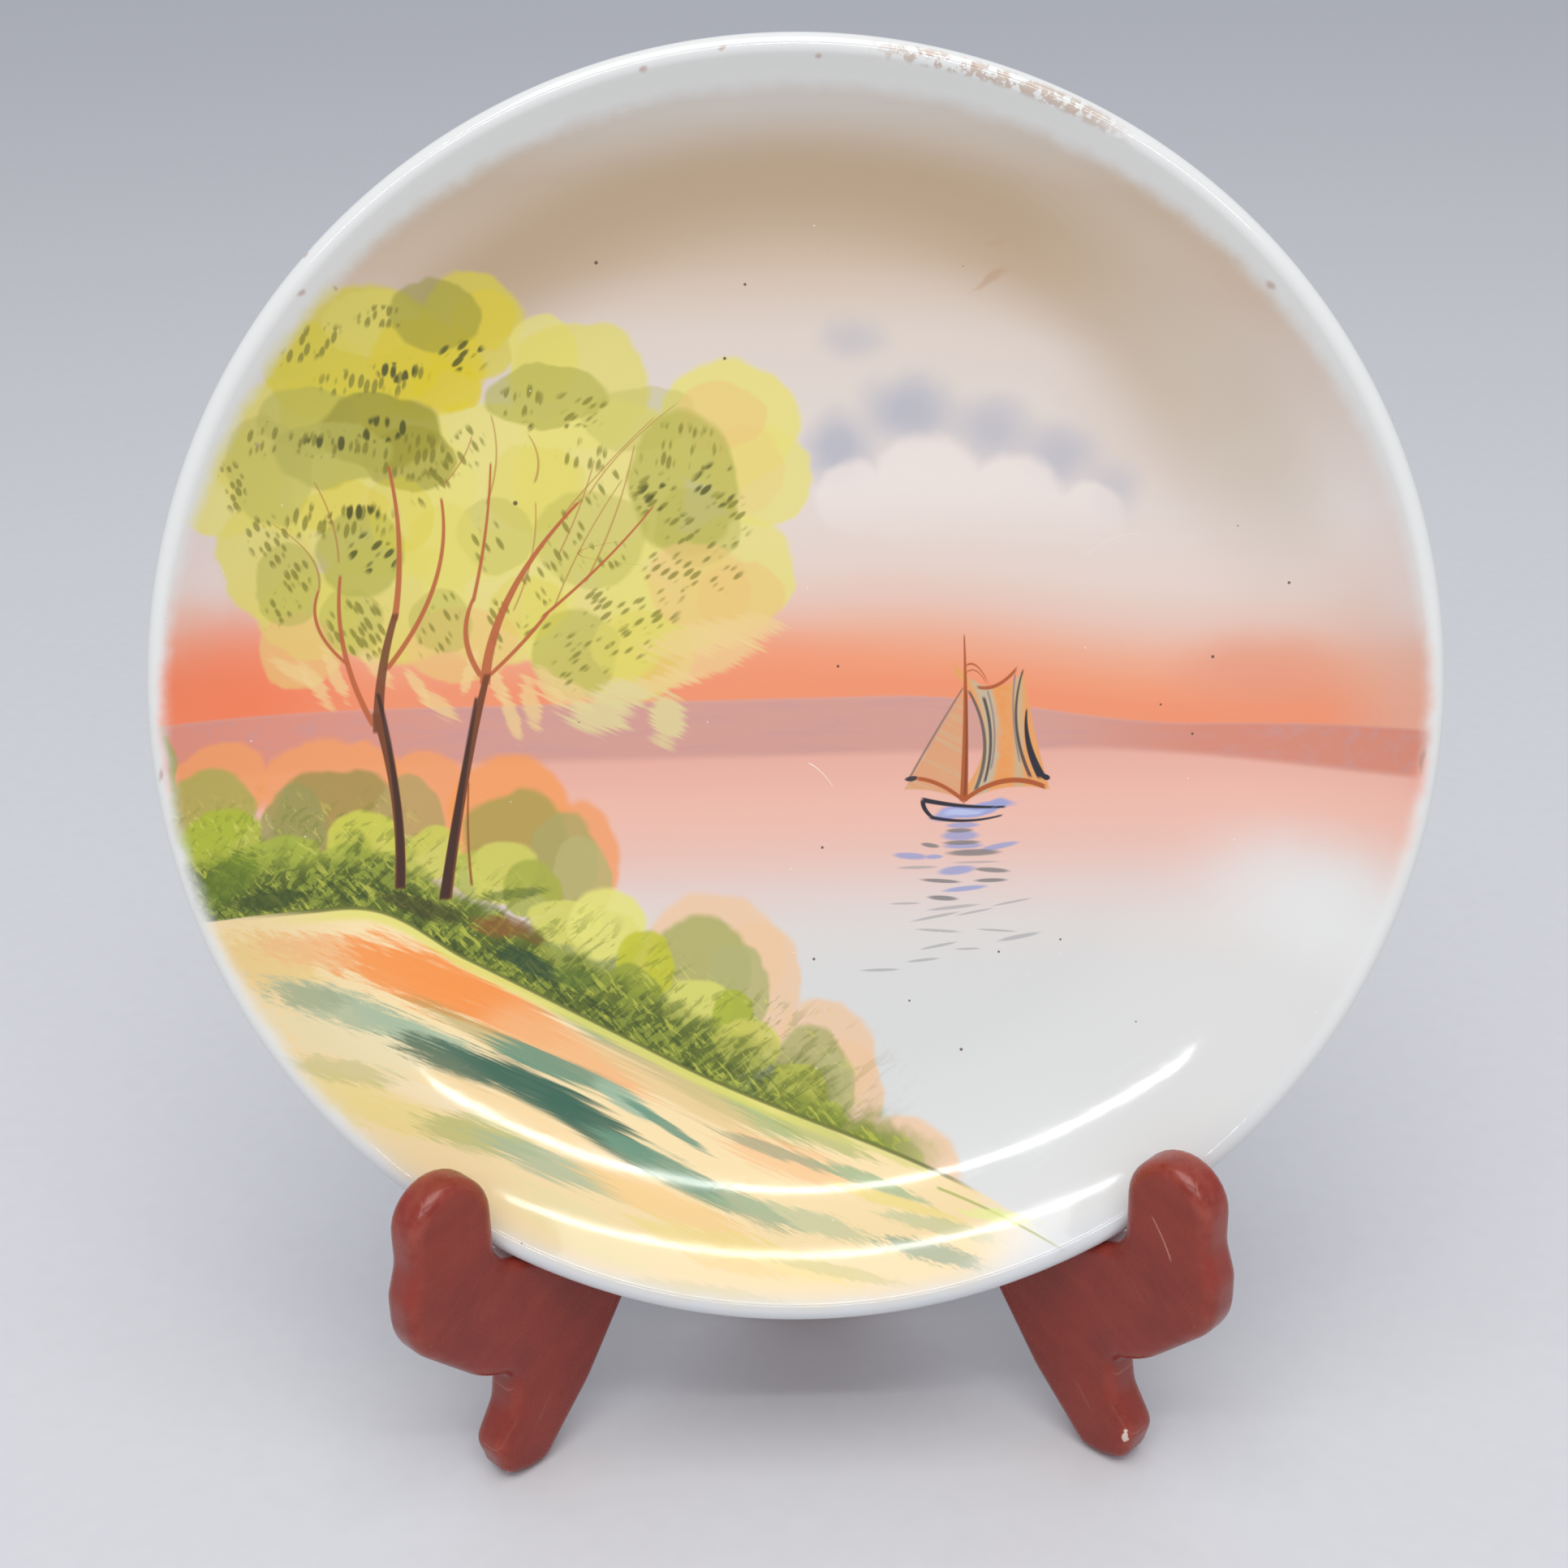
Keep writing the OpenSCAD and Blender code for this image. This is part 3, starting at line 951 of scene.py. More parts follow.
def paint_bushes(p, above):
    board = p.board
    apricot, pale_apricot = tone(243, 158, 96), tone(240, 200, 158)
    for centre, radii, colour in (
        ((-86, -10), (7, 6.5), apricot), ((-70, -12), (12, 8), apricot), ((-56, -14), (7, 8), apricot),
        ((-44, -18), (10, 11), tone(245, 156, 82)), ((-34, -24), (7.5, 9.5), apricot),
        ((-14, -41), (12, 11.5), pale_apricot), ((-7, -45), (7, 11), pale_apricot),
        ((3, -57), (9, 10), pale_apricot), ((6, -62), (7, 9), pale_apricot),
        ((15, -74), (9, 8.5), pale_apricot),
    ):
        p.blob(centre, radii, colour, 0.85, 0.16)
    under = ease(above, -0.2, 0.2) * ease(above, 11, 8) * ease(p.x, -4, -14)
    p.touch(tone(148, 156, 66), under)
    for centre, radii, colour in (
        ((-33, -38), (9, 7), tone(160, 166, 76)), ((-87, -14), (6, 7), tone(170, 168, 78)),
        ((-70, -16), (9.5, 7.5), tone(156, 142, 70)),
        ((-59, -17), (5.5, 6.5), tone(182, 158, 96)), ((-76, -17), (5, 6), tone(156, 150, 84)),
        ((-43, -21), (8.5, 8.5), tone(170, 156, 76)), ((-36, -24), (6, 8), tone(174, 164, 96)),
        ((-33, -27), (4.5, 7), tone(184, 176, 110)), ((-16, -42), (8.5, 8.5), tone(170, 172, 92)),
        ((-10, -46), (5.5, 8), tone(180, 178, 114)), ((1, -59), (6.5, 8), tone(178, 174, 108)),
        ((4, -62), (4, 7), tone(190, 184, 124)), ((12, -74), (7, 5.5), tone(194, 186, 124)),
    ):
        p.blob(centre, radii, colour, 0.85, 0.14)
    for centre, radii, colour in (
        ((-86, -19), (6.5, 6), tone(172, 184, 44)), ((-78, -23), (6, 4.5), tone(168, 180, 60)),
        ((-66, -20.5), (6, 5), tone(204, 204, 76)), ((-69, -25), (6, 4), tone(176, 184, 66)),
        ((-56, -23), (5, 4.5), tone(206, 204, 84)), ((-50, -26), (4, 4), tone(180, 186, 76)),
        ((-45.5, -26), (6, 5), tone(210, 206, 96)), ((-41, -29), (5, 5), tone(170, 174, 66)),
        ((-36, -34), (6, 4), tone(216, 212, 104)), ((-30, -34.5), (6.5, 6), tone(230, 225, 120)),
        ((-24, -41), (5, 5.5), tone(196, 196, 44)), ((-27, -45), (5, 4), tone(150, 160, 52)),
        ((-17, -48), (6, 5), tone(218, 216, 108)), ((-11, -50), (3.5, 5), tone(170, 180, 50)),
        ((-9, -54.5), (5.5, 4.8), tone(206, 202, 92)), ((-2, -62), (6, 4.4), tone(204, 204, 84)),
        ((2, -66), (4.5, 3.6), tone(194, 198, 84)), ((8, -71), (5, 2.6), tone(186, 188, 90)),
    ):
        p.blob(centre, radii, colour, 0.9, 0.16)
    tuft = board.noise(p.grain(38, 4.2, 1.0), 1.0, 3.0, 0.55, swirl=0.5)
    fan = board.noise(p.grain(-50, 3.4, 0.8), 1.0, 3.0, 0.6, swirl=0.5)
    lump = board.noise(p.face, 5.0, 2.0)
    wild = above + (lump - 0.5) * 11.0
    far_end = ease(p.x, 18, -22)
    bank = ease(above, -0.2, 0.2) * ease(wild, 11.0, 5.5) * far_end
    low = ease(above, -0.2, 0.2) * ease(wild, 6.0, 2.0) * ease(p.x, 24, 10)
    domes = ease(above, -0.2, 0.2) * ease(above + (lump - 0.5) * 8.0, 20, 13) * ease(p.x, 20, -4)
    p.touch(tone(124, 134, 46), domes * ease(tuft, 0.53, 0.62, 0.5))
    p.touch(tone(216, 214, 100), domes * ease(fan, 0.58, 0.66, 0.5))
    p.touch(tone(132, 144, 50), bank.higher(low) * 0.9)
    p.touch(tone(84, 98, 32), bank * ease(tuft, 0.44, 0.54, 0.85))
    p.touch(tone(184, 188, 72), bank.higher(low) * ease(fan, 0.55, 0.64, 0.8))
    p.touch(tone(60, 74, 28), bank * ease(fan, 0.46, 0.38, 0.8) * ease(wild, 7.5, 3.5))
    for centre, radii, degrees, colour, strength in (
        ((-85, -24), (5, 3.4), 40, tone(98, 120, 30), 0.8),
        ((-80, -28), (6, 1.8), 0, tone(60, 76, 28), 0.85),
        ((-46, -34.5), (5, 2.0), -12, tone(146, 88, 40), 0.7),
        ((-42, -36), (3, 1.4), -30, tone(120, 84, 36), 0.6),
        ((-42, -40.5), (6, 2.0), -28, tone(48, 74, 44), 0.85),
        ((-58, -31), (7, 1.8), -22, tone(66, 66, 26), 0.8),
        ((-44, -29.5), (5.5, 1.0), 4, tone(78, 100, 26), 0.6),
        ((-35, -43), (4, 2), -20, tone(92, 116, 40), 0.7),
    ):
        p.swipe(centre, radii, degrees, colour, strength)
    p.blob((-91.8, -6), (0.8, 7), tone(150, 160, 66), 0.8, 0.5, 6)


# %% [markdown]
# The hill in front is cream, with long loaded strokes of orange, teal and olive that follow its slope.
# They are drawn with the flat brush, so that each one shows the marks of the hairs.

# %% The hill in front
def paint_hill(p, above):
    board = p.board
    ground = ease(above, 0.2, -0.2)
    before = p.paint
    p.paint = board.mix(1.0, before, tone(249, 224, 172))
    orange, apricot, cream = tone(248, 150, 72), tone(247, 182, 122), tone(250, 230, 190)
    teal, sage, deep = tone(108, 150, 124), tone(158, 186, 158), tone(58, 102, 82)
    olive, straw = tone(172, 182, 104), tone(240, 220, 130)
    for centre, radii, degrees, colour, strength in (
        ((-80, -37), (9, 5), -24, tone(240, 204, 122), 0.8), ((-70, -37), (13, 3), -16, apricot, 0.85),
        ((-84, -47), (6, 10), 30, tone(240, 232, 206), 0.8),
        ((-68, -50), (14, 4), -24, tone(238, 230, 190), 0.7),
        ((-58, -42), (15, 5), -27, orange, 0.95), ((-48, -47), (16, 4.2), -28, orange, 0.8),
        ((-36, -55), (15, 3.6), -30, apricot, 0.85), ((-70, -45), (13, 2.8), -24, sage, 0.9),
        ((-74, -43), (6, 1.8), -20, teal, 0.6), ((-60, -50), (13, 2.2), -24, sage, 0.85),
        ((-46, -53), (18, 1.6), -30, tone(176, 160, 96), 0.6), ((-24, -55.5), (19, 2.6), -30, teal, 0.85),
        ((-12, -63.5), (14, 2.6), -28, tone(160, 182, 116), 0.8),
        ((-20, -61), (18, 2.8), -32, tone(232, 200, 140), 0.7),
        ((-52, -55.5), (13, 2.6), -26, deep, 0.95), ((-42, -60), (13, 3.0), -30, deep, 0.95),
        ((-33, -66), (14, 2.8), -34, deep, 0.95), ((-22, -73), (14, 2.2), -30, teal, 0.9),
        ((-12, -78), (12, 1.8), -26, teal, 0.7), ((-38, -57), (13, 1.9), -26, teal, 0.9),
        ((-28, -62.5), (7, 1.6), -34, sage, 0.9), ((-22, -66.5), (9, 0.8), -34, teal, 0.9),
        ((-56, -60), (20, 1.4), -24, cream, 0.95), ((-34, -70), (16, 1.6), -28, cream, 0.8),
        ((-72, -57), (12, 3.4), -22, straw, 0.75), ((-70, -54), (9, 1.8), -22, olive, 0.6),
        ((-60, -62.5), (12, 2.4), -20, straw, 0.8), ((-50, -66), (11, 2.8), -22, olive, 0.85),
        ((-40, -71), (13, 2.2), -24, tone(150, 180, 150), 0.8),
        ((-44, -64), (16, 2.4), -28, tone(250, 218, 160), 0.8),
        ((-22, -78), (17, 2.4), -24, tone(250, 204, 130), 0.7), ((-2, -73), (14, 2.8), -20, apricot, 0.5),
        ((-35, -80), (14, 3), -28, tone(236, 226, 170), 0.7), ((-10, -85), (20, 2.2), -14, straw, 0.7),
        ((-12, -86.5), (9, 1.4), -16, tone(250, 204, 120), 0.6),
        ((-16, -90), (16, 1.2), -12, olive, 0.35),
        ((-2, -81), (14, 1.8), -16, tone(160, 188, 150), 0.6), ((2, -69), (10, 1.6), -26, olive, 0.7),
        ((-4, -71.5), (12, 1.0), -22, teal, 0.55), ((10, -76), (10, 1.1), -20, tone(150, 182, 138), 0.8),
        ((14, -79), (12, 1.0), -16, straw, 0.8), ((20, -82), (10, 1.2), -12, tone(160, 192, 150), 0.6),
        ((19, -85.6), (9, 1.5), -8, tone(104, 152, 132), 0.95), ((4, -88), (12, 0.9), -10, olive, 0.5),
        ((12, -71.5), (9, 1.0), -24, tone(214, 212, 120), 0.6),
    ):
        p.swipe(centre, radii, degrees, colour, strength)
    p.touch(tone(228, 222, 112), ease(above, -2.6, -1.2) * ease(p.x, -84, -68) * ease(p.x, 18, -10) * 0.85)
    # Painted shade: the hill grows darker and browner towards the rim, on the lower wall.
    p.touch(tone(216, 190, 138), ease(p.reach, 72, 90, 0.4))
    p.touch(cream, ease(p.x, 22, 40) * 0.9)
    p.touch(GLAZE_WHITE, ease(p.x - p.y * 0.4, 56, 74))
    reach_in = ease(p.x, 44, 24)
    p.paint = board.mix(ground * reach_in, before, p.paint)
    edge = ease(abs(above + 0.1), 0.5, 0.1) * ease(p.x, -86, -72) * ease(p.x, 27, 20)
    p.touch(tone(86, 96, 26), edge * 0.85)
    p.level_line(((20, -76.8), (30, -80.6), (40, -85)), (0.22, 0.16), tone(168, 176, 90), 0.8)
    p.blob((38, -85.2), (2.6, 0.9), tone(170, 178, 84), 0.9, 0.4, 30)
    p.swipe((29, -80.5), (6, 1.0), -6, tone(226, 232, 140), 0.7)


# %% [markdown]
# The little boat is the one finely drawn thing. Its sails are filled shapes between curved edges, the
# rigging and the hull are liner strokes, and its reflection is a stack of level dashes that spread out
# and fade towards the viewer.

# %% The sailing boat and its reflection
def between(value, low, high, soft=0.15):
    """1 where value lies between low and high."""
    return ease(value - low, -soft, soft) * ease(high - value, -soft, soft)


def paint_boat(p):
    x, y = p.x, p.y
    ink, steel, rust = tone(42, 40, 50), tone(128, 124, 128), tone(176, 88, 40)
    stay, mast = 25.4, 26.2
    foot = (x - stay) * (x - stay) * -0.028 + abs(x - stay) * 0.47 - 16.8
    luff = (y * -0.002 + 0.58) * y + 25.2
    jib = between(x, luff, stay) * ease(y - foot, -0.2, 0.2) * between(y, -17, 0.6)
    p.touch(tone(222, 158, 112), jib * 0.95)
    p.touch(tone(206, 176, 134), jib * ease(p.hair, 0.48, 0.6) * 0.7)
    inner = (y * -0.048 - 0.66) * y + mast
    outer = (y * 0.004 - 0.16) * y + 34.9
    head = (x - 30) * (x - 30) * 0.11 + 0.5
    main_sail = between(x, inner, outer) * ease(y - foot, -0.2, 0.2) * ease(head - y, -0.2, 0.2)
    main_sail = main_sail * between(x, 24, 39) * between(y, -17, 5)
    p.touch(tone(230, 160, 96), main_sail)
    p.touch(tone(196, 180, 150), main_sail * between(x - (inner - mast) * 0.6, 27.2, 29.6, 0.5) * 0.9)
    p.touch(tone(200, 176, 138), main_sail * between(x, 33.0, 34.3, 0.4) * 0.8)
    p.touch(tone(236, 150, 76), main_sail * between(x, 30.2, 32.4, 0.7) * ease(p.dry, 0.2, 0.8) * 0.6)
    for points, widths, colour, strength in (
        (((-15.2, 27.0), (-8, 28.5), (0, 26.2)), (0.3, 0.22), tone(92, 84, 78), 0.9),
        (((-14, 28.4), (-8, 29.4), (-1, 28.4)), (0.2, 0.26), ink, 0.85),
        (((-12, 29.4), (-6, 30.0), (0, 29.0)), (0.14, 0.14), steel, 0.8),
        (((-13.4, 35.4), (-5, 33.3), (3, 34.4)), (0.3, 0.14), ink, 0.85),
        (((-11, 33.8), (-4, 32.9), (2.4, 33.2)), (0.14, 0.14), steel, 0.8),
        (((-13.6, 37.2), (-8, 35.1), (-3, 34.9)), (0.75, 0.12), ink, 1.0),
        (((-13.3, 16.9), (-7, 20.6), (0.5, 25.3)), (0.22, 0.16), tone(136, 112, 84), 0.85),
    ):
        p.upright_line(points, widths, colour, strength)
    p.blob((17.4, -13.1), (1.1, 0.5), ink, 0.95, 0.3, 15)
    p.blob((37.3, -13.9), (0.9, 0.5), ink, 1.0, 0.3, -25)
    p.level_line(((18.2, -13.2), (21.5, -14.2), (25.2, -16.8)), (0.3, 0.4), rust)
    p.level_line(((25.2, -16.8), (30.5, -14.1), (37.6, -15.0)), (0.4, 0.4), rust)
    p.level_line(((27.5, 0.6), (30.2, 0.7), (33.4, 3.2)), (0.25, 0.35), rust, 0.95)
    p.level_line(((25.8, 3.9), (27.4, 3.8), (29.0, 1.4)), (0.16, 0.16), rust, 0.9)
    p.level_line(((25.8, 2.8), (27.2, 3.1), (28.8, 1.2)), (0.12, 0.12), rust, 0.8)
    p.upright_line(((-16.8, 25.2), (-6, 25.6), (8.5, 25.6)), (0.62, 0.1), rust)
    p.upright_line(((-16, 25.4), (-8, 25.75), (0, 25.8)), (0.2, 0.12), tone(120, 58, 32), 0.7)
    p.blob((26.3, -18.3), (7.6, 1.35), tone(154, 162, 208), 0.95, 0.3, 5)
    p.blob((24.6, -18.5), (4.2, 0.7), tone(192, 200, 232), 0.8, 0.5, 2)
    p.level_line(((18.9, -16.5), (23.5, -17.4), (31.5, -17.9)), (0.4, 0.16), ink)
    p.level_line(((20.0, -19.2), (25, -19.9), (31.0, -19.2)), (0.3, 0.14), ink)
    p.upright_line(((-19.3, 20.4), (-18, 19.3), (-16.5, 19.0)), (0.4, 0.35), ink)
    p.upright_line(((-17.9, 29.8), (-17.5, 31.4), (-17.0, 34.6)), (0.14, 0.1), tone(150, 160, 206), 0.8)


def paint_reflection(p):
    for colour, strength, dashes in (
        (tone(150, 158, 202), 0.8, (
            (25, -20.6, 2.8, 0.5, 0), (24.6, -22.2, 3.2, 0.9, 2), (25, -23.8, 3.4, 0.5, 0),
            (17, -25.2, 3.0, 0.6, -4),
            (30.5, -24, 3.4, 0.5, 8), (24, -27.6, 3.2, 0.8, 3), (25.2, -30.5, 3.8, 0.45, 5),
            (20.5, -25.4, 1.6, 0.4, 0),
        )),
        (tone(126, 122, 120), 0.85, (
            (24.5, -21.4, 2.3, 0.4, 2), (24.8, -23.3, 3.2, 0.4, 0), (20, -23.6, 1.6, 0.4, -8),
            (26.6, -24.9, 4.6, 0.6, 2),
            (29.4, -27.7, 3.0, 0.42, -3), (21.5, -29.2, 3.4, 0.35, -4), (29.2, -29.3, 2.8, 0.36, -2),
            (21.8, -31.9, 2.6, 0.45, -3),
        )),
        (tone(160, 158, 158), 0.6, (
            (23.4, -33.4, 4.4, 0.32, 3), (20.6, -34.8, 4.2, 0.26, 8), (26.6, -34.2, 3.2, 0.2, 8),
            (32.4, -32.8, 3.4, 0.2, 8),
            (16, -32.6, 2.6, 0.2, 0), (21, -37, 3.8, 0.26, -4), (33.4, -38.3, 3.6, 0.4, 8),
            (30, -37.2, 3.4, 0.2, -4),
            (21, -39.4, 3.2, 0.26, 8), (25.5, -40, 2.2, 0.2, 0), (18.6, -41.6, 2.8, 0.26, 4),
            (12, -43, 3.2, 0.28, 2),
            (18, -27, 3.4, 0.3, -2), (27, -26.4, 4, 0.2, 0),
        )),
    ):
        region = p.nearest(dashes, crisp=True)
        p.touch(colour, ease(region, 1.1, 0.6) * strength)


# %% [markdown]
# Age shows on the glaze: tiny pits where dust burnt in the kiln, a few pale scratches, brown smudges near
# the lip and traces of worn gilding along its top. The band beside the lip was never painted, but along the
# bottom it carries a painted blue-grey shade.

# %% Wear and painted shade on the front
def paint_wear_and_shade(p):
    board = p.board
    ragged = (board.noise(p.face, 4.0, 3.0, 0.6) - 0.5) * 1.8
    border = ease(p.reach + p.y.higher(0) * 0.05 + ragged, 91.0, 94.0)
    p.touch(GLAZE_WHITE, border)
    # Painted shade: a blue-grey band along the lower lip.
    p.touch(tone(200, 204, 210), ease(p.reach, 89, 93.4) * ease(p.y, -40, -92) * 0.6)
    pits = [(x, y, radius, radius, 0) for x, y, radius in (
        (63, 4.3, 0.28), (60, -7.4, 0.22), (6.5, 4.3, 0.25), (3.5, -23.5, 0.25), (1.8, -41, 0.25),
        (24.3, -56, 0.28), (30.3, -40.6, 0.22), (39.8, -38.9, 0.2), (-27.5, 64.6, 0.3), (-5.9, 61, 0.25),
        (-9.2, 50.4, 0.28), (-41, 30, 0.4), (16.4, -48, 0.2), (55.2, -2.8, 0.2), (73.8, 15.4, 0.25),
    )]
    p.touch(tone(84, 58, 44), ease(p.nearest(pits, crisp=True), 1.2, 0.5, 0.9))
    p.touch(tone(120, 96, 80), ease(board.cells(p.face, 9.0), 0.022, 0.012, 0.7))
    p.touch(tone(246, 244, 238), ease(board.cells(board.map(p.face, (3, 0, 7)), 6.2), 0.026, 0.012, 0.7))
    for x, y, wide, high, degrees in (
        (-19, 89.5, 0.9, 0.5, 20), (-8, 92.5, 0.7, 0.5, 0), (5, 91.6, 1.0, 0.5, 0),
        (27, 89.4, 0.9, 0.5, -20),
        (-69, 60.5, 1.0, 0.6, 45), (-68, 65.5, 0.8, 0.5, 45), (-77, 39.5, 0.6, 0.6, 0),
        (69, 59, 1.0, 0.8, -40),
        (-64.5, 62, 0.6, 0.4, 20), (-93.4, -8, 0.5, 1.4, 0), (91.5, -10, 0.5, 2.6, 0),
    ):
        p.blob((x, y), (wide, high), tone(178, 142, 124), 0.6, 0.8, degrees)
    gilt = between(p.reach, 92, 94.2, 0.4) * between(p.x, 15, 46, 5) * ease(p.y, 40, 70)
    p.touch(tone(176, 140, 110), gilt * ease(p.dry, 0.45, 0.75, 0.6))
    p.level_line(((1.8, -10.4), (3.8, -12.0), (5.4, -14.2)), (0.1, 0.06), tone(250, 236, 222), 0.9, 0.08)
    p.level_line(((-80, -62), (-78, -64), (-75, -67)), (0.08, 0.05), tone(250, 248, 240), 0.7, 0.08)
    p.level_line(((44, 20), (47, 22), (52, 23)), (0.06, 0.05), tone(240, 228, 222), 0.5, 0.08)


# %% [markdown]
# Porcelain glaze is a clear, hard and very smooth layer. Its shine is broken only by a faint ripple that
# bends reflections, by hair scratches and by the marks that the brush left in the colour.

# %% The painted front
def on_the_plate(board):
    """Millimetres from the plate's centre: to the right, into the plate, and up its face."""
    return board.map(board.object_place(), tuple(PLATE_CENTRE), (-LEAN, 0, 0), (MM, MM, MM))


def painted_glaze():
    board = Board("painted_glaze")
    face = on_the_plate(board)
    p = Painter(board, face, GLAZE_WHITE)
    above = hill_edge(p)
    paint_sky(p)
    paint_clouds_and_rim_shade(p)
    paint_foliage(p)
    paint_dabs(p)
    paint_bushes(p, above)
    paint_trunks(p)
    paint_hill(p, above)
    paint_reflection(p)
    paint_boat(p)
    paint_wear_and_shade(p)
    ripple = board.noise(face, 5.5, 2.0)
    orange_peel = board.noise(face, 1.1, 1.0)
    scratch = board.noise(p.grain(35, 30, 0.35), 1.0, 2.0)
    scratches = ease(scratch, 0.68, 0.74)
    height = ripple * 0.5 + orange_peel * 0.035 - scratches * 0.05 + (p.hair - 0.5) * 0.03
    bump = board.bump(0.5, height)
    rough = ease(ripple, 0.2, 0.8) * 0.03 + scratches * 0.14 + 0.075
    print("the painted front has", len(board.tree.nodes), "nodes")
    return board.finish(**{"Base Color": p.paint, "Roughness": rough, "Normal": bump, "IOR": 1.5,
                           "Coat Weight": 0.2, "Coat Roughness": 0.04})


# %% [markdown]
# The back has the same glaze without the painting, with a few pits and some grime. The foot ring is bare
# clay: matt, gritty and a little stained.

# %% The white back and the bare foot ring
def white_glaze():
    board = Board("white_glaze")
    place = on_the_plate(board)
    cloud = board.noise(place, 24.0, 3.0)
    pool = board.noise(place, 6.0, 2.0)
    colour = board.mix(ease(cloud, 0.3, 0.7), GLAZE_WHITE, tone(218, 220, 220))
    pits = board.cells(place, 10.0)
    colour = board.mix(ease(pits, 0.05, 0.03) * 0.8, colour, tone(120, 98, 78))
    grime = ease(board.noise(place, 9.0, 4.0, 0.65), 0.58, 0.75)
    colour = board.mix(grime * 0.22, colour, tone(196, 184, 164))
    height = pool * 0.5 + board.noise(place, 1.1, 1.0) * 0.04 - ease(pits, 0.05, 0.02) * 0.4
    bump = board.bump(0.35, height)
    rough = grime * 0.12 + 0.08
    return board.finish(**{"Base Color": colour, "Roughness": rough, "Normal": bump, "IOR": 1.5,
                           "Coat Weight": 0.2, "Coat Roughness": 0.04})


def bare_clay():
    board = Board("bare_clay")
    place = on_the_plate(board)
    grit = board.noise(place, 0.35, 3.0, 0.7)
    stain = board.noise(place, 12.0, 3.0)
    colour = board.mix(ease(grit, 0.3, 0.7), tone(206, 198, 184), tone(188, 178, 160))
    colour = board.mix(ease(stain, 0.45, 0.7) * 0.6, colour, tone(150, 130, 106))
    bump = board.bump(0.6, grit, 0.00012)
    rough = ease(grit, 0, 1) * 0.15 + 0.72
    return board.finish(**{"Base Color": colour, "Roughness": rough, "Normal": bump})


# %% [markdown]
# The stand is moulded in a red-brown plastic that imitates rosewood. Its skin is a satin one with a fine
# grain. Its edges are painted paler, partly as wear where they are handled and partly as painted highlight,
# and are rubbed shinier. A few corners have lost a chip, and a pale spot on the right foot is a painted
# highlight drawn like a chip.

# %% Red-brown plastic
def moulded_plastic(side):
    """The plastic of one leaf. Side is -1 for the left leaf and 1 for the right one."""
    board = Board("moulded_plastic_left" if side < 0 else "moulded_plastic_right")
    turn = (0, 0, side * (SPREAD - math.radians(90)))
    place = board.map(board.object_place(), (0, HINGE_Y, 0), turn, (side * MM, MM, MM))
    reach, height = board.split(place)
    grain = board.noise(place, 0.45, 2.0, 0.6)
    flow = board.noise(board.map(place, turn=(0, 0.5, 0), scale=(16, 5, 3)), 1.0, 3.0, 0.55)
    cloud = board.noise(place, 11.0, 3.0)
    colour = board.mix(ease(cloud, 0.3, 0.7), tone(138, 40, 22), tone(124, 34, 19))
    colour = board.mix(ease(flow, 0.42, 0.7) * 0.35, colour, tone(149, 50, 32))
    colour = board.mix(ease(grain, 0.55, 0.8) * 0.2, colour, tone(108, 36, 27))
    bevel = board.node("ShaderNodeNewGeometry", out=7)
    # Partly painted highlight: convex edges are painted paler, both as rubbed wear and as the light they
    # catch; the same mask makes them a little glossier.
    rubbed_and_highlit = ease(bevel, 0.505, 0.56) * ease(board.noise(place, 3.0, 3.0, 0.6), 0.35, 0.65)
    colour = board.mix(rubbed_and_highlit * 0.35, colour, tone(196, 112, 92))
    dust = ease(board.noise(place, 2.2, 5.0, 0.75), 0.66, 0.74)
    colour = board.mix(dust * 0.25, colour, tone(190, 150, 136))
    toe_chips = ((68.2, 6.7, 3.8, 1.3, 1.5), (67.2, 5.6, 1.2, 0.9, 0.7), (67.3, 1.6, 1.2, 1.0, 0.7))
    # Painted highlight: the pale spot at the right leaf's foot stands for a glint, drawn like a chip.
    foot_glint = ((68.0, 0.6, 6.6, 0.5, 1.3),)
    spot_depth = 1.2
    chips_and_glint = None
    for along, across, up, wide, high in toe_chips if side < 0 else foot_glint:
        rho = board.length(board.map(place, (along, across, up), (0, 0, 0), (wide, spot_depth, high)))
        rho = rho + (board.noise(place, 0.7, 2.0) - 0.5) * 1.4
        pale_spot = ease(rho, 1.05, 0.8)
        chips_and_glint = pale_spot if chips_and_glint is None else chips_and_glint.higher(pale_spot)
    # Pale chips on the left leaf; on the right leaf this paints the highlight spot.
    colour = board.mix(chips_and_glint * 0.9, colour, tone(226, 206, 192))
    fine = board.noise(board.map(place, turn=(0, 0.9, 0), scale=(22, 9, 0.3)), 1.0, 1.0)
    scuff = ease(fine, 0.70, 0.75)
    colour = board.mix(scuff * 0.25, colour, tone(206, 140, 122))
    if side > 0:
        rise = 46
        bow = abs((height - rise) * (height - rise) * -0.03 + (height - rise) * -0.55 + 74.0 - reach)
        scratch = ease(bow, 0.18, 0.05) * ease(abs(height - 47), 3.4, 2.6)
        colour = board.mix(scratch * 0.8, colour, tone(206, 150, 134))
    pits = board.cells(place, 7.0)
    pit = ease(pits, 0.07, 0.03)
    colour = board.mix(pit * 0.6, colour, tone(84, 30, 26))
    relief = grain * 0.35 + cloud * 0.5 - pit * 0.8 - chips_and_glint * 1.2 - scuff * 0.2
    bump = board.bump(0.5, relief, 0.00012)
    rough = ease(grain, 0.2, 0.8) * 0.08 + cloud * 0.08 + chips_and_glint * 0.3 - rubbed_and_highlit * 0.05 + 0.2
    return board.finish(**{"Base Color": colour, "Roughness": rough, "Normal": bump, "IOR": 1.52})


# %% [markdown]
# The pin keeps the fine lines of the drawing die along its length, under a brownish tarnish.

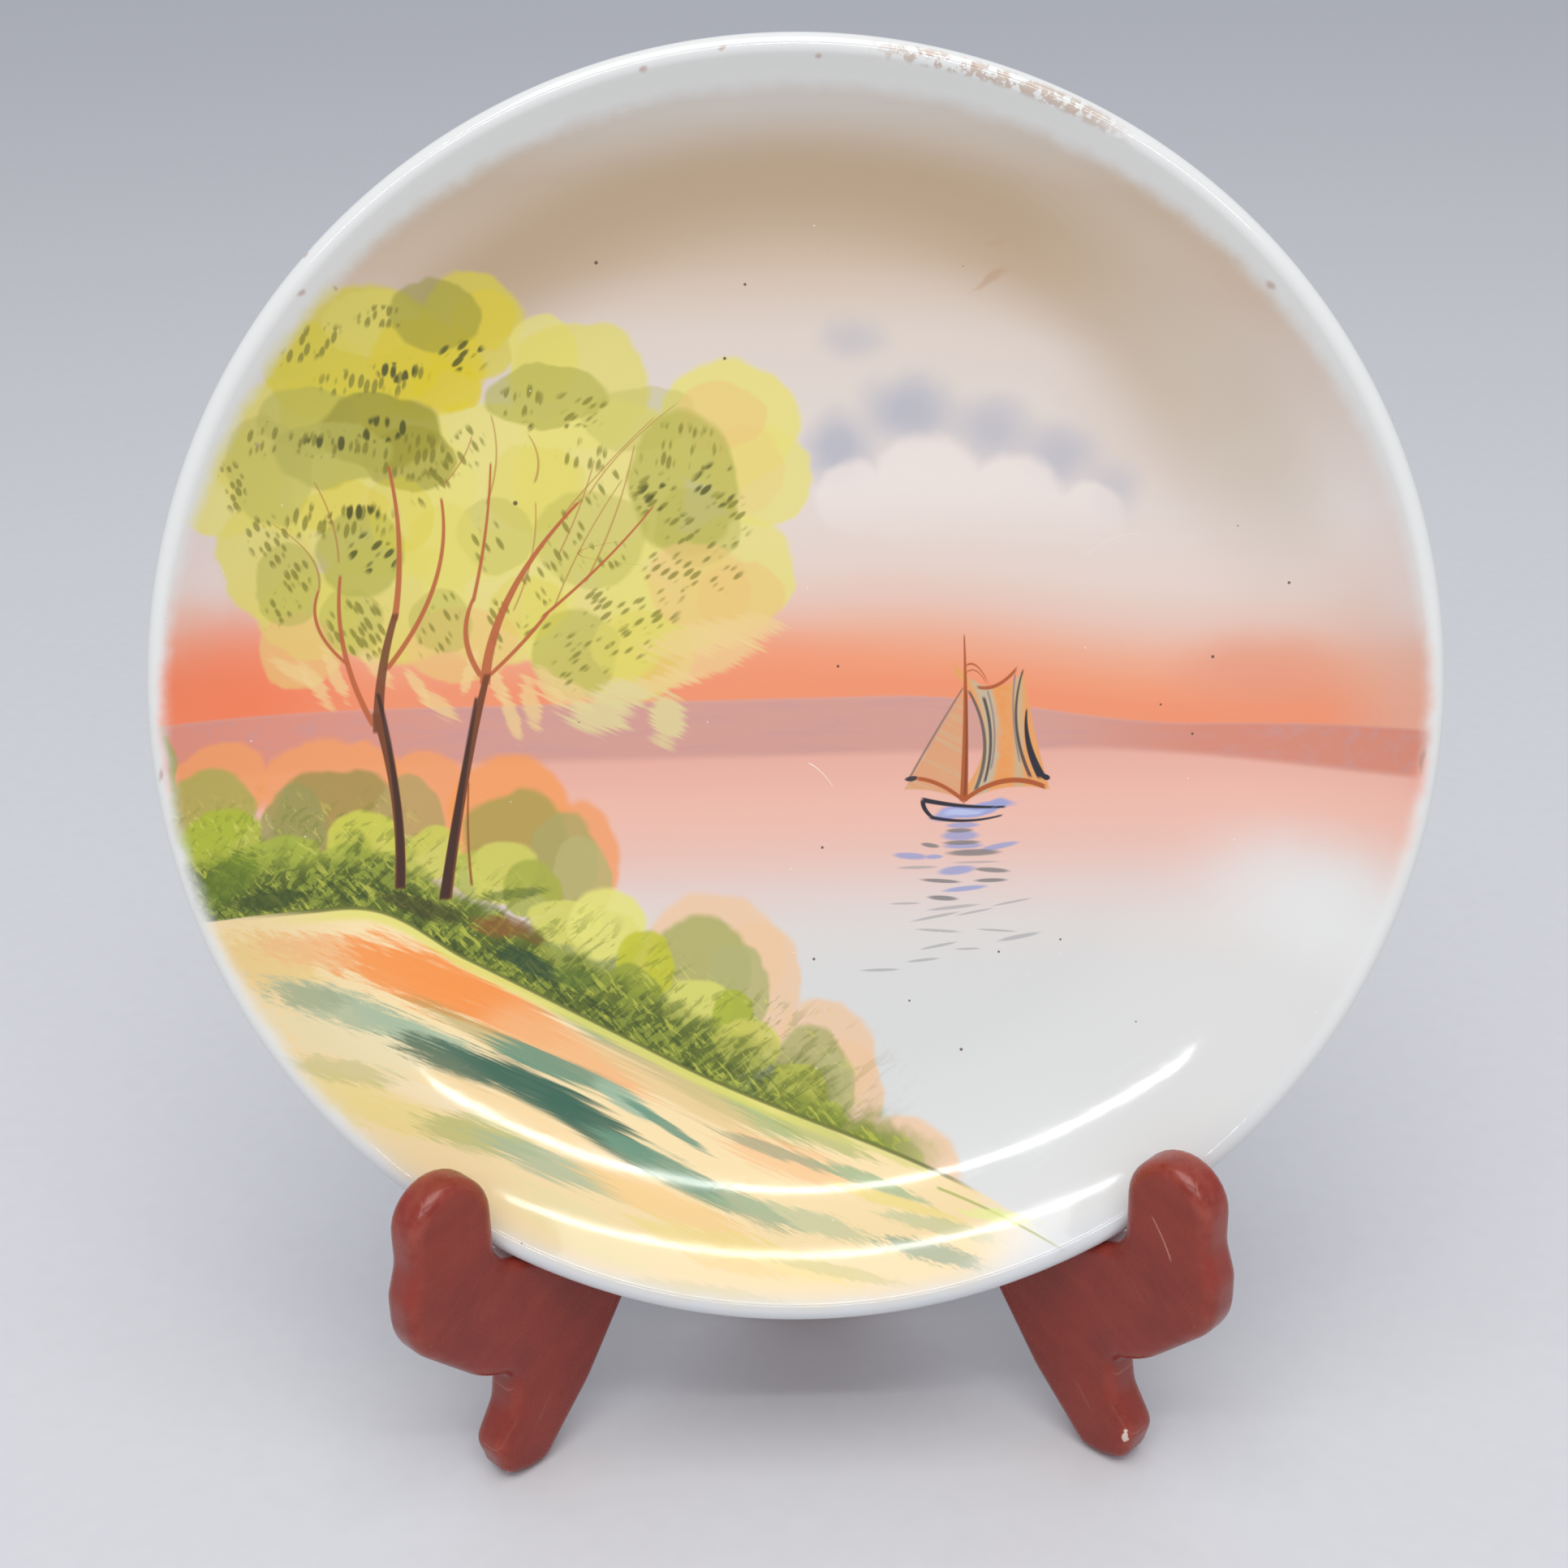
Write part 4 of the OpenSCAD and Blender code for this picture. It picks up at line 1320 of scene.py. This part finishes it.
# %% Drawn steel
def drawn_steel():
    board = Board("drawn_steel")
    place = board.map(board.object_place(), (0, HINGE_Y, 0), (0, 0, 0), (MM, MM, MM))
    lines = board.noise(board.map(place, scale=(0.12, 0.12, 14)), 1.0, 2.0)
    tarnish = board.noise(place, 1.4, 4.0, 0.65)
    colour = board.mix(ease(tarnish, 0.45, 0.75) * 0.6, tone(196, 194, 190), tone(140, 122, 102))
    bump = board.bump(0.25, lines, 0.00005)
    rough = ease(tarnish, 0.4, 0.8) * 0.2 + lines * 0.1 + 0.24
    return board.finish(**{"Base Color": colour, "Metallic": 1.0, "Roughness": rough, "Normal": bump})


# %% [markdown]
# The plate keeps the marks made on its faces, so its three materials go in by order of those marks. The
# leaves and the pin have one material each.

# %% Dress the pieces
for material in (painted_glaze(), white_glaze(), bare_clay()):
    plate.data.materials.append(material)
for piece, material in (
    (left_leaf, moulded_plastic(-1)),
    (right_leaf, moulded_plastic(1)),
    (pin, drawn_steel()),
):
    piece.data.materials.clear()
    piece.data.materials.append(material)
    print(piece.name, "wears", material.name)

# %% [markdown]
# Each piece rides on the body that carries it and stands for the engineering node of the same part.

# %% Bodies, nodes and slots
for piece, body, node, slot in (
    (plate, "plate", "plate", "porcelain"),
    (left_leaf, "stand", "left_leaf", "leaf_plastic"),
    (right_leaf, "folding_leaf", "right_leaf", "leaf_plastic"),
    (pin, "stand", "hinge_pin", "pin_steel"),
):
    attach(piece, body)
    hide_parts(node)
    print(piece.name, "rides on", body)

# %% [markdown]
# The set is a pale floor under soft studio light. A large soft box overhead gives the body light, and two
# long tubes behind the camera draw the two bright arcs that the curved wall of the plate throws back.

# %% Floor and light
FLOOR_SIZE = 6
FLOOR_MIDDLE = (0, 1.5, 0)
PAPER_GRAIN = 0.004
deselect()
bpy.ops.mesh.primitive_plane_add(size=FLOOR_SIZE, location=FLOOR_MIDDLE)
floor = fresh("studio_floor")
floor_board = Board("studio_paper")
paper = floor_board.noise(floor_board.object_place(), PAPER_GRAIN, 3.0)
floor.data.materials.append(floor_board.finish(**{
    "Base Color": floor_board.mix(paper, (0.66, 0.66, 0.67, 1), (0.70, 0.70, 0.71, 1)),
    "Roughness": 0.8,
}))

world = bpy.data.worlds.new("studio")
world.use_nodes = True
background = world.node_tree.nodes["Background"]
background.inputs["Color"].default_value = (0.86, 0.90, 1.0, 1)
background.inputs["Strength"].default_value = 0.6
bpy.context.scene.world = world
bpy.context.scene.view_settings.view_transform = "Standard"


def soft_box(name, place, target, size, power, colour=(1, 1, 1)):
    data = bpy.data.lights.new(name, "AREA")
    data.shape = "RECTANGLE"
    data.size, data.size_y = size
    data.energy = power
    data.color = colour
    lamp = bpy.data.objects.new(name, data)
    lamp.location = place
    lamp.rotation_euler = (Vector(target) - Vector(place)).to_track_quat("-Z", "Y").to_euler()
    bpy.context.collection.objects.link(lamp)
    print(name, "stands", round((Vector(target) - Vector(place)).length, 2), "m away")


AIM = tuple(PLATE_CENTRE)
soft_box("overhead_box", (0.0, -0.4, 1.35), AIM, (1.1, 0.9), 7.6, (1.0, 0.98, 0.96))
soft_box("front_tube", (0, -1.25, 0.98), AIM, (1.5, 0.05), 4.0)
soft_box("high_tube", (0, -0.85, 1.35), AIM, (1.5, 0.05), 3.0)
